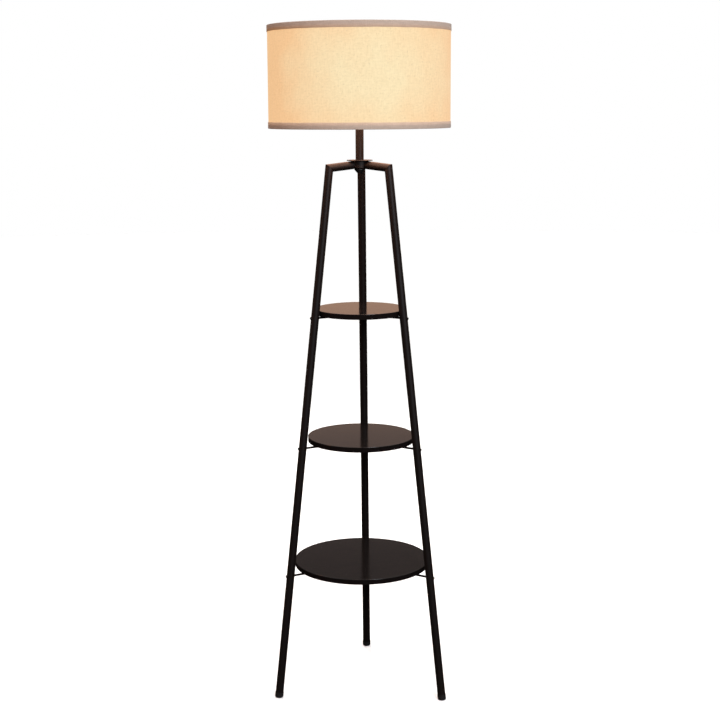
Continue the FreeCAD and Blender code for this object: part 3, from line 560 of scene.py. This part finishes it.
class LAMP_OT_finish_socket(bpy.types.Operator):
    """Finish the socket, its switch and the cord gland"""

    bl_idname = "lamp.finish_socket"
    bl_label = "Finish the socket"

    def execute(self, context):
        colours = context.scene.lamp_colours
        # Phenolic, pressed hot in a polished mould: deep black with an even low gloss. The
        # polish's marks are drawn at 2 mm, ten times as coarse as they are.
        phenolic = finished(
            "pressed_phenolic",
            colours.plastic,
            contrast=0.7,
            roughness=(0.3, 0.4),
            grain_mm=2.0,
            depth_mm=0.01,
            constants={"Specular IOR Level": 0.4},
        )
        wear(phenolic, "cord_gland", "socket_cap", "socket_body", "switch_knob", "switch_block")
        wear(phenolic, "shade_ring_nut")
        # Brass, stamped from sheet: warm, with the press's fine scratches round it.
        brass = finished(
            "stamped_brass",
            colours.brass,
            contrast=0.78,
            roughness=(0.22, 0.36),
            grain_mm=2.0,
            depth_mm=0.01,
            stretch=(1, 1, 12),
            constants={"Metallic": 1.0},
        )
        wear(brass, "switch_spindle", "centre_contact", "screw_shell")
        # Porcelain, dipped in clear glaze: cream white, glossy and faintly uneven over 6 mm.
        porcelain = finished(
            "glazed_porcelain",
            colours.porcelain,
            contrast=0.9,
            roughness=(0.08, 0.16),
            grain_mm=6.0,
            depth_mm=0.03,
            constants={"IOR": 1.52},
        )
        wear(porcelain, "socket_insulator")
        return {"FINISHED"}


class LAMP_OT_finish_bulb(bpy.types.Operator):
    """Finish the bulb and light its dome"""

    bl_idname = "lamp.finish_bulb"
    bl_label = "Finish the bulb"

    def execute(self, context):
        colours = context.scene.lamp_colours
        # Nickel-plated aluminium, rolled into a thread: bright, with a soft drag round it.
        nickel = finished(
            "rolled_nickel",
            colours.nickel,
            contrast=0.8,
            roughness=(0.2, 0.32),
            grain_mm=2.0,
            depth_mm=0.02,
            stretch=(0.3, 0.3, 6),
            constants={"Metallic": 1.0},
        )
        wear(nickel, "bulb_cap", "bulb_contact")
        # Polycarbonate, moulded white and satin. The mould's spark grain is 0.2 mm and is drawn
        # at 2 mm.
        housing = finished(
            "moulded_polycarbonate",
            colours.housing,
            contrast=0.94,
            roughness=(0.4, 0.52),
            grain_mm=2.0,
            depth_mm=0.01,
            constants={"IOR": 1.58},
        )
        wear(housing, "bulb_housing")
        # Opal polycarbonate, blown thin over the light board: faintly cloudy over 8 mm. It glows
        # all over, and warmer towards its rim.
        opal, tree = new_material("blown_opal_polycarbonate")
        place = add_node(tree, "TexCoord").outputs["Object"]
        noise = add_node(tree, "TexNoise", {"Vector": place, "Scale": 1 / (8 * MM), "Detail": 2.0})
        cloud = add_node(tree, "MapRange", {"Value": noise, **NOISE_SPAN})
        ends = {FIRST: deeper(colours.opal, 0.94), SECOND: tuple(colours.opal)}
        shade = add_node(tree, "Mix", {SHARE: cloud, **ends}, data_type="RGBA")
        height = add_node(tree, "SeparateXYZ", {"Vector": place}).outputs["Z"]
        span = {"From Min": DOME_LOW, "From Max": (DOME_LOW + DOME_HIGH) / 2}
        rise = add_node(tree, "MapRange", {"Value": height, **span})
        ends = {FIRST: tuple(colours.edge_glow), SECOND: tuple(colours.glow)}
        warm = add_node(tree, "Mix", {SHARE: rise, **ends}, data_type="RGBA")
        end_in_shader(
            tree,
            {
                "Base Color": shade,
                "Roughness": 0.3,
                "IOR": 1.58,
                "Emission Color": warm,
                "Emission Strength": DOME_LIGHT,
            },
        )
        wear(opal, "bulb_diffuser")
        return {"FINISHED"}


# Shade: where its seam lies, a little left of the back spoke seen from behind, how finely its
# cloth is divided, and where the folds are sharp.
SEAM = math.radians(98)
DRUM_STEPS = 360
LINEN_ROWS = 24
LINEN_CREASE = math.radians(50)
TRIM_CREASE = math.radians(60)

# The light in the linen. The shift below is painted shade: the glow is shaded orange towards the
# drum's sides, round a middle that lies this share of the drum's radius right of the front, so the
# left side is shaded more than the right. CORE_SPAN is the light that meets the drum, from its
# edges to its middle, and makes a core of CORE_LEAST to 1: the higher, the creamier, and the weaker
# by CORE_LOSS, so that the cream isn't bleached. The gain below is a painted highlight: how much
# stronger the shaded sides shine.
PAINTED_SIDE_SHIFT = 0.15
CORE_SPAN = (0.62, 0.98)
CORE_LEAST = 0.55
CORE_LOSS = 0.05
PAINTED_SIDE_GAIN = 0.02
# The linen's pattern, in millimetres round the drum and up it. Clouds shift its colour either
# way by CLOUD_TONE; its threads, their knots and the lapped seam change how much light comes
# through. The threads are 0.9 mm apart; their streaks are drawn 3.6 mm wide, or they wouldn't
# show.
STREAK_MM = 3.6
KNOT_MM = (3.5, 5.0)
KNOT_SPAN = (0.6, 0.75)
KNOT_LIGHT = 0.88
CLOUD_MM = (70.0, 90.0)
CLOUD_TONE = 0.15
THREAD_LIGHT = (0.94, 1.035)
LAP_LIGHT = 0.75
LAP_EDGE = 0.5 * MM

# The ribbon: how it climbs over its lap, how tightly its two edges bend, what a notch leaves of
# the fold, and how unevenly it was folded, by what depth and in how many waves round.
LAP_RAMP = 5 * MM
LAP_CLIMB = 1.05
EDGE_BEND = 0.8 * MM
BEND_STEPS = 4
NOTCH_FOLD = 1.6 * MM
WIDTH_RIPPLE, WIDTH_WAVES = 0.3 * MM, (5, 13, 29)
FOLD_RIPPLE, FOLD_WAVES = 0.4 * MM, (4, 11, 23)
# Its threads are drawn 2.4 mm wide, because the real ones, 0.9 mm apart, wouldn't show.
RIBBON_MM = 2.4
RIBBON_CROSS_MM = 9.0
RIBBON_STRETCH = 2.5
# The single ribbon glows. The glow fades to DOUBLE_GLOW from a little before the inner fold's
# edge, where the ribbon turns double, to a little past it.
FADE_BEFORE, FADE_AFTER = 2 * MM, 4 * MM
DOUBLE_GLOW = 0.1

# What is left of the lining's glow where the least light meets it.
FILM_EDGE_GLOW = 0.3


def cloth_noise(tree, cloth, round_mm, up_mm, detail=2.0):
    """Noise in the cloth's own plane, of different sizes round the drum and up it."""
    scale = (1 / (round_mm * MM), 1 / (up_mm * MM), 1)
    mapping = add_node(tree, "Mapping", {"Vector": cloth, "Scale": scale})
    return add_node(tree, "TexNoise", {"Vector": mapping, "Scale": 1.0, "Detail": detail})


def woven(tree, cloth, spacing, threads, depth_mm):
    """Relief of a plain weave, with the thick places of the threads on top of it."""
    place = add_node(tree, "SeparateXYZ", {"Vector": cloth})
    waves = []
    for axis in ("X", "Y"):
        turns = {0: place.outputs[axis], 1: math.tau / spacing}
        angle = add_node(tree, "Math", turns, operation="MULTIPLY")
        waves.append(add_node(tree, "Math", {0: angle}, operation="SINE"))
    weave = add_node(tree, "Math", dict(enumerate(waves)), operation="MULTIPLY")
    height = add_node(tree, "Math", {0: weave, 1: threads}, operation="ADD")
    return add_node(tree, "Bump", {"Height": height, "Distance": depth_mm * MM, "Strength": 1.0})


def reach_of_light(tree, height):
    """How much of the bulb's light meets the drum at a height, 1 at its middle.

    It thins with the square of the distance, and with the slant at which it comes.
    """
    offset = add_node(tree, "Math", {0: height, 1: SHADE_MIDDLE}, operation="SUBTRACT")
    share = add_node(tree, "Math", {0: offset, 1: SKIN_INNER}, operation="DIVIDE")
    square = add_node(tree, "Math", {0: share, 1: share}, operation="MULTIPLY")
    spread = add_node(tree, "Math", {0: square, 1: 1.0}, operation="ADD")
    return add_node(tree, "Math", {0: spread, 1: -1.5}, operation="POWER")


def drum_strip(shape, start, total, steps, outline_at, radius):
    """Sweep a closed outline round Z, from a start angle through a total one.

    outline_at gives the corners (radius, height, way along the cloth) at a distance round.
    The cloth's own coordinates, in metres, go into a UV map named cloth.
    """
    layer = shape.loops.layers.uv.new("cloth")
    rings, ways = [], []
    for i in range(steps + 1):
        turn = total * i / steps
        corners = outline_at(turn * radius)
        angle = start + turn
        rings.append(
            [shape.verts.new((r * math.cos(angle), r * math.sin(angle), z)) for r, z, _ in corners]
        )
        ways.append([(turn * radius, way) for _, _, way in corners])
    count = len(rings[0])
    faces = []
    for i in range(steps):
        for j in range(count):
            k = (j + 1) % count
            spots = ((i, j), (i + 1, j), (i + 1, k), (i, k))
            faces.append(([rings[a][b] for a, b in spots], [ways[a][b] for a, b in spots]))
    faces += [(rings[0], ways[0]), (rings[-1], ways[-1])]
    for corners, places in faces:
        face = shape.faces.new(corners)
        for loop, place in zip(face.loops, places):
            loop[layer].uv = place


def linen_outline(sizes, total_round):
    """The sheet's outline at a distance round: it climbs by its own thickness over one turn."""
    half = sizes.cloth_thickness / 2
    heights = [SKIN_LOW + (SKIN_HIGH - SKIN_LOW) * j / LINEN_ROWS for j in range(LINEN_ROWS + 1)]

    def at(distance):
        climb = (SKIN_OUTER - SKIN_INNER - 2 * half) * distance / total_round
        middle = SKIN_INNER + half + climb
        outside = [(middle + half, z, z) for z in heights]
        inside = [(middle - half, z, z) for z in reversed(heights)]
        return outside + inside

    return at


def linen_material(sizes, colours):
    # Slub linen, woven from uneven flax and laminated to film, with a lamp inside: the light
    # comes through cream by the bulb and orange towards the edges, and each thick place in a
    # thread shows as a darker streak.
    material, tree = new_material("woven_slub_linen_lit")
    cloth = add_node(tree, "UVMap", uv_map="cloth").outputs["UV"]
    place = add_node(tree, "SeparateXYZ", {"Vector": cloth})
    length_mm = sizes.slub_length / MM
    upright = cloth_noise(tree, cloth, STREAK_MM, 2 * length_mm, detail=3.0)
    level = cloth_noise(tree, cloth, length_mm, STREAK_MM, detail=3.0)
    both = add_node(tree, "Math", {0: upright, 1: level}, operation="ADD")
    threads = add_node(tree, "Math", {0: both, 1: 0.5}, operation="MULTIPLY")
    cloud = add_node(
        tree,
        "MapRange",
        {
            "Value": cloth_noise(tree, cloth, *CLOUD_MM),
            **NOISE_SPAN,
            "To Min": -CLOUD_TONE,
            "To Max": CLOUD_TONE,
        },
    )
    core = add_node(
        tree,
        "MapRange",
        {
            "Value": reach_of_light(tree, place.outputs["Y"]),
            "From Min": CORE_SPAN[0],
            "From Max": CORE_SPAN[1],
            "To Min": CORE_LEAST,
        },
    )
    # Painted shade: the glow is shaded orange towards the drum's sides in X, more on the left than
    # on the right, and its strength is raised a little there.
    solid = add_node(tree, "TexCoord").outputs["Object"]
    across = add_node(tree, "SeparateXYZ", {"Vector": solid}).outputs["X"]
    painted_side_offset = add_node(
        tree, "Math", {0: across, 1: 1 / SKIN_OUTER, 2: -PAINTED_SIDE_SHIFT}, operation="MULTIPLY_ADD"
    )
    painted_side_shade = add_node(tree, "Math", {0: painted_side_offset, 1: painted_side_offset}, operation="MULTIPLY")
    lit = add_node(tree, "Math", {0: core, 1: cloud}, operation="ADD")
    left = add_node(tree, "Math", {0: lit, 1: painted_side_shade}, operation="SUBTRACT")
    share = add_node(tree, "MapRange", {"Value": left})
    ends = {FIRST: tuple(colours.edge_glow), SECOND: tuple(colours.glow)}
    shade = add_node(tree, "Mix", {SHARE: share, **ends}, data_type="RGBA")
    # The strength of the light: less through the threads, their knots, and the lapped seam.
    low, high = THREAD_LIGHT
    strength = add_node(
        tree, "MapRange", {"Value": threads, **NOISE_SPAN, "To Min": low, "To Max": high}
    )
    knots = add_node(
        tree,
        "MapRange",
        {
            "Value": cloth_noise(tree, cloth, *KNOT_MM, detail=1.0),
            "From Min": KNOT_SPAN[0],
            "From Max": KNOT_SPAN[1],
            "To Min": 1.0,
            "To Max": KNOT_LIGHT,
        },
    )
    lap = add_node(
        tree,
        "MapRange",
        {
            "Value": place.outputs["X"],
            "From Min": math.tau * SKIN_OUTER - LAP_EDGE,
            "From Max": math.tau * SKIN_OUTER + LAP_EDGE,
            "To Min": 1.0,
            "To Max": LAP_LIGHT,
        },
    )
    # Painted highlight: the shaded sides of the drum shine a little stronger.
    rim = add_node(tree, "Math", {0: painted_side_shade, 1: PAINTED_SIDE_GAIN, 2: 1.0}, operation="MULTIPLY_ADD")
    middle = add_node(
        tree, "Math", {0: core, 1: -CORE_LOSS, 2: 1 + CORE_LOSS}, operation="MULTIPLY_ADD"
    )
    for factor in (knots, lap, rim, middle):
        strength = add_node(tree, "Math", {0: strength, 1: factor}, operation="MULTIPLY")
    glow = add_node(tree, "VectorMath", {"Vector": shade, "Scale": strength}, operation="SCALE")
    thick = add_node(tree, "MapRange", {"Value": threads, **NOISE_SPAN})
    ends = {FIRST: tuple(colours.slub), SECOND: tuple(colours.linen)}
    yarn = add_node(tree, "Mix", {SHARE: thick, **ends}, data_type="RGBA")
    end_in_shader(
        tree,
        {
            "Base Color": yarn,
            "Roughness": 0.9,
            "Specular IOR Level": 0.25,
            "Sheen Weight": 0.1,
            "Emission Color": glow,
            "Emission Strength": LINEN_LIGHT,
            "Normal": woven(tree, cloth, sizes.thread_spacing, thick, depth_mm=0.06),
        },
    )
    return material


class LAMP_OT_stretch_linen(bpy.types.Operator):
    """Build the lit linen drum with its lapped seam at the back"""

    bl_idname = "lamp.stretch_linen"
    bl_label = "Stretch the linen"

    def execute(self, context):
        sizes, colours = context.scene.lamp_sizes, context.scene.lamp_colours
        total = math.tau + sizes.cloth_lap / SKIN_OUTER
        outline_at = linen_outline(sizes, total * SKIN_OUTER)
        piece = new_piece(
            "linen_drum",
            lambda shape: drum_strip(shape, SEAM, total, DRUM_STEPS, outline_at, SKIN_OUTER),
            linen_material(sizes, colours),
        )
        piece.data.set_sharp_from_angle(angle=LINEN_CREASE)
        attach(piece, "shade")
        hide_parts("shade_fabric")
        return {"FINISHED"}


def smoothstep(share):
    """A share held between 0 and 1 and eased at both ends."""
    share = min(max(share, 0.0), 1.0)
    return share * share * (3 - 2 * share)


def ripple(distance, radius, counts):
    """A small uneven wave round the drum that closes on itself, from -1 to 1."""
    angle = distance / radius
    waves = [math.sin(n * angle + n * n) for n in counts]
    return sum(waves) / len(waves)


def trim_outline(sizes, edge, inward, total_round, spoke_places):
    """The folded ribbon's outline at a distance round, with its lap and its notches."""
    thick = sizes.trim_thickness
    lap_start = total_round - sizes.trim_lap
    bend = EDGE_BEND

    def at(distance):
        over = LAP_CLIMB * thick * smoothstep((distance - lap_start + LAP_RAMP) / LAP_RAMP)
        width = sizes.trim_width + WIDTH_RIPPLE * ripple(distance, TRIM_OUTER, WIDTH_WAVES)
        fold = sizes.trim_fold + FOLD_RIPPLE * ripple(distance, TRIM_OUTER, FOLD_WAVES)
        if any(abs(distance - place) < sizes.trim_notch / 2 for place in spoke_places):
            fold = NOTCH_FOLD
        # The ribbon's middle line: down the outside, across the shade's edge and up the inside.
        outer = TRIM_OUTER - thick / 2 + over
        inner = TRIM_INNER + thick / 2 - over
        web = thick / 2 - over
        arc = [math.pi / 2 * i / BEND_STEPS for i in range(BEND_STEPS + 1)]
        line = [(outer, width), (outer, (width + bend) / 2)]
        line += [
            (outer - bend + bend * math.cos(a), web + bend - bend * math.sin(a)) for a in arc
        ]
        line += [
            (inner + bend - bend * math.sin(a), web + bend - bend * math.cos(a)) for a in arc
        ]
        line += [(inner, (fold + web + bend) / 2), (inner, fold)]
        ways = [0.0]
        for (r0, z0), (r1, z1) in zip(line, line[1:]):
            ways.append(ways[-1] + math.hypot(r1 - r0, z1 - z0))
        sides = []
        for i in range(len(line)):
            r0, z0 = line[max(i - 1, 0)]
            r1, z1 = line[min(i + 1, len(line) - 1)]
            run = math.hypot(r1 - r0, z1 - z0)
            sides.append(((z1 - z0) / run, -(r1 - r0) / run))
        outside, inside = [
            [
                (r + side * n[0], z + side * n[1], way)
                for (r, z), n, way in zip(line, sides, ways)
            ]
            for side in (-thick / 2, thick / 2)
        ]
        # Both cut edges are a little rounded.
        rim = [(line[-1][0], line[-1][1] + thick / 3, ways[-1])]
        brim = [(line[0][0], line[0][1] + thick / 3, ways[0])]
        corners = outside + rim + inside[::-1] + brim
        return [(r, edge + inward * z, way) for r, z, way in corners]

    return at


def trim_material(sizes, colours):
    # Linen ribbon, folded double and glued: opaque taupe, dry and slightly fuzzy, with the
    # threads running along it.
    material, tree = new_material("folded_linen_ribbon")
    cloth = add_node(tree, "UVMap", uv_map="cloth").outputs["UV"]
    # The ribbon lies double up to its inner fold. Above that it is single and lets light through.
    single = add_node(
        tree,
        "MapRange",
        {
            "Value": add_node(tree, "SeparateXYZ", {"Vector": cloth}).outputs["Y"],
            "From Min": sizes.trim_width - sizes.trim_fold - FADE_BEFORE,
            "From Max": sizes.trim_width - sizes.trim_fold + FADE_AFTER,
            "To Min": 1.0,
            "To Max": DOUBLE_GLOW,
        },
    )
    warm = tuple(colours.trim_glow)[:3]
    glow = add_node(tree, "VectorMath", {"Vector": warm, "Scale": single}, operation="SCALE")
    along = sizes.slub_length / MM * RIBBON_STRETCH
    streaks = cloth_noise(tree, cloth, along, RIBBON_MM)
    cross = cloth_noise(tree, cloth, RIBBON_MM, RIBBON_CROSS_MM)
    both = add_node(tree, "Math", {0: streaks, 1: cross}, operation="ADD")
    threads = add_node(tree, "Math", {0: both, 1: 0.5}, operation="MULTIPLY")
    thick = add_node(tree, "MapRange", {"Value": threads, **NOISE_SPAN})
    ends = {FIRST: deeper(colours.trim, 0.78), SECOND: tuple(colours.trim)}
    shade = add_node(tree, "Mix", {SHARE: thick, **ends}, data_type="RGBA")
    end_in_shader(
        tree,
        {
            "Base Color": shade,
            "Roughness": 0.92,
            "Specular IOR Level": 0.2,
            "Sheen Weight": 0.15,
            "Emission Color": glow,
            "Emission Strength": TRIM_LIGHT,
            "Normal": woven(tree, cloth, sizes.thread_spacing, thick, depth_mm=0.08),
        },
    )
    return material


class LAMP_OT_fold_trims(bpy.types.Operator):
    """Build the folded ribbons round the shade's two edges"""

    bl_idname = "lamp.fold_trims"
    bl_label = "Fold the trims"

    def execute(self, context):
        sizes = context.scene.lamp_sizes
        material = trim_material(sizes, context.scene.lamp_colours)
        total = math.tau + sizes.trim_lap / TRIM_OUTER
        spokes = [((math.radians(turn) - SEAM) % math.tau) * TRIM_OUTER for turn in LEG_TURNS]
        for name, node, edge, inward, notches in (
            ("top_ribbon", "top_trim", SHADE_TOP, -1, []),
            ("bottom_ribbon", "bottom_trim", SHADE_BOTTOM, 1, spokes),
        ):
            outline_at = trim_outline(sizes, edge, inward, total * TRIM_OUTER, notches)
            # Twice the drum's steps, because a notch is only 6 mm wide.
            piece = new_piece(
                name,
                lambda shape, at=outline_at: drum_strip(
                    shape, SEAM, total, 2 * DRUM_STEPS, at, TRIM_OUTER
                ),
                material,
            )
            piece.data.set_sharp_from_angle(angle=TRIM_CREASE)
            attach(piece, "shade")
            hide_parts(node)
        return {"FINISHED"}


class LAMP_OT_finish_shade_frame(bpy.types.Operator):
    """Finish the shade's lining and its wires"""

    bl_idname = "lamp.finish_shade_frame"
    bl_label = "Finish the shade frame"

    def execute(self, context):
        colours = context.scene.lamp_colours
        # Styrene film, laminated to the linen: smooth white, glowing warm by the bulb, and
        # faintly cloudy over 12 mm.
        film, tree = new_material("laminated_styrene_film")
        place = add_node(tree, "TexCoord").outputs["Object"]
        height = add_node(tree, "SeparateXYZ", {"Vector": place}).outputs["Z"]
        noise = add_node(tree, "TexNoise", {"Vector": place, "Scale": 1 / (12 * MM), "Detail": 2.0})
        cloud = add_node(tree, "MapRange", {"Value": noise, **NOISE_SPAN})
        ends = {FIRST: deeper(colours.film, 0.95), SECOND: tuple(colours.film)}
        shade = add_node(tree, "Mix", {SHARE: cloud, **ends}, data_type="RGBA")
        light = reach_of_light(tree, height)
        ends = {FIRST: deeper(colours.film_glow, FILM_EDGE_GLOW), SECOND: tuple(colours.film_glow)}
        glow = add_node(tree, "Mix", {SHARE: light, **ends}, data_type="RGBA")
        end_in_shader(
            tree,
            {
                "Base Color": shade,
                "Roughness": 0.45,
                "IOR": 1.55,
                "Emission Color": glow,
                "Emission Strength": FILM_LIGHT,
            },
        )
        wear(film, "shade_liner")
        # Steel wire and ring, dipped in white coat: soft gloss, a little thicker every 4 mm.
        wire = finished(
            "dip_coated_wire",
            colours.wire,
            contrast=0.9,
            roughness=(0.3, 0.42),
            grain_mm=4.0,
            depth_mm=0.05,
            constants={"IOR": 1.5},
        )
        wear(wire, "upper_wire_ring", "lower_wire_ring", "fitter_ring")
        wear(wire, *[f"fitter_spoke_{leg}" for leg in LEGS])
        return {"FINISHED"}


# Stage.


class LAMP_OT_set_stage(bpy.types.Operator):
    """Set up the floor, the studio light and the camera"""

    bl_idname = "lamp.set_stage"
    bl_label = "Set the stage"

    def execute(self, context):
        scene = context.scene
        scene.view_settings.view_transform = "Standard"
        self.lay_floor(scene)
        self.tone_studio(scene)
        self.hang_lights(scene)
        self.place_camera(scene)
        return {"FINISHED"}

    def lay_floor(self, scene):
        # Seamless paper, rolled out: matt and almost white, with a soft unevenness of 20 mm.
        paper = finished(
            "rolled_paper_floor",
            scene.lamp_colours.floor,
            contrast=0.99,
            roughness=(0.9, 0.95),
            grain_mm=20.0,
            depth_mm=0.02,
            constants={"Specular IOR Level": 0.1},
        )
        floor = new_piece(
            "floor",
            lambda shape: bmesh.ops.create_circle(
                shape, cap_ends=True, radius=FLOOR_RADIUS, segments=FLOOR_SIDES
            ),
            paper,
        )
        # Neither light nor a reflection comes up from the floor, so the undersides stay dark.
        floor.visible_glossy = False
        floor.visible_diffuse = False

    def tone_studio(self, scene):
        scene.world = bpy.data.worlds.new("studio")
        scene.world.use_nodes = True
        tree = scene.world.node_tree
        tree.nodes.clear()
        place = add_node(tree, "TexCoord").outputs["Generated"]
        up = add_node(tree, "SeparateXYZ", {"Vector": place}).outputs["Z"]
        height = add_node(tree, "MapRange", {"Value": up, "From Min": -1.0})
        ramp = add_node(tree, "ValToRGB", {"Fac": height})
        # A new ramp has two stops already.
        bands = ramp.color_ramp.elements
        for spot, (elevation, colour) in enumerate(STUDIO_BANDS):
            where = (1 + math.sin(math.radians(elevation))) / 2
            band = bands[spot] if spot < 2 else bands.new(where)
            band.position = where
            band.color = colour
        sky = add_node(tree, "Background", {"Color": ramp, "Strength": SKY_LIGHT})
        white = add_node(tree, "Background", {"Color": linear("#ffffff")})
        seen = add_node(tree, "LightPath").outputs["Is Camera Ray"]
        both = add_node(tree, "MixShader", {0: seen, 1: sky, 2: white})
        add_node(tree, "OutputWorld", {"Surface": both})

    def hang_lights(self, scene):
        for name, place, aim, size, power, colour, mirrored in SOFTBOXES:
            lamp = bpy.data.lights.new(name, "AREA")
            lamp.shape = "DISK"
            lamp.size = size
            lamp.energy = power
            lamp.color = linear(colour)[:3]
            box = bpy.data.objects.new(name, lamp)
            box.location = place
            box.rotation_euler = (Vector(aim) - Vector(place)).to_track_quat("-Z", "Y").to_euler()
            box.visible_camera = False
            box.visible_glossy = mirrored
            scene.collection.objects.link(box)

    def place_camera(self, scene):
        lens = bpy.data.cameras.new("camera")
        lens.lens = CAMERA_LENS
        lens.sensor_width = CAMERA_SENSOR
        lens.shift_x, lens.shift_y = CAMERA_SHIFT
        lens.clip_end = CAMERA_REACH
        camera = bpy.data.objects.new("camera", lens)
        turn = Matrix.Rotation(math.radians(CAMERA_TURN), 4, "Z")
        pitch = Matrix.Rotation(math.radians(90 - CAMERA_PITCH), 4, "X")
        roll = Matrix.Rotation(math.radians(CAMERA_ROLL), 4, "Z")
        back = turn @ Matrix.Translation((0, -CAMERA_DISTANCE, CAMERA_HEIGHT))
        camera.matrix_world = back @ pitch @ roll
        scene.collection.objects.link(camera)
        scene.camera = camera


STEPS = (
    LAMP_OT_coat_frame,
    LAMP_OT_fit_feet,
    LAMP_OT_face_shelves,
    LAMP_OT_plate_joints,
    LAMP_OT_make_screws,
    LAMP_OT_finish_socket,
    LAMP_OT_finish_bulb,
    LAMP_OT_stretch_linen,
    LAMP_OT_fold_trims,
    LAMP_OT_finish_shade_frame,
    LAMP_OT_set_stage,
)


class LAMP_PT_steps(bpy.types.Panel):
    """Lists the lamp's building steps"""

    bl_label = "Shelf floor lamp"
    bl_idname = "LAMP_PT_steps"
    bl_space_type = "VIEW_3D"
    bl_region_type = "UI"
    bl_category = "Lamp"

    def draw(self, context):
        for group in (context.scene.lamp_sizes, context.scene.lamp_colours):
            box = self.layout.box()
            for key in group.__annotations__:
                box.prop(group, key)
        for step in STEPS:
            self.layout.operator(step.bl_idname)


CLASSES = (LampSizes, LampColours, *STEPS, LAMP_PT_steps)


def register():
    for kind in CLASSES:
        bpy.utils.register_class(kind)
    bpy.types.Scene.lamp_sizes = bpy.props.PointerProperty(type=LampSizes)
    bpy.types.Scene.lamp_colours = bpy.props.PointerProperty(type=LampColours)


def unregister():
    del bpy.types.Scene.lamp_colours
    del bpy.types.Scene.lamp_sizes
    for kind in reversed(CLASSES):
        bpy.utils.unregister_class(kind)


def main():
    register()
    for step in STEPS:
        space, name = step.bl_idname.split(".")
        getattr(getattr(bpy.ops, space), name)()


if __name__ == "__main__":
    main()
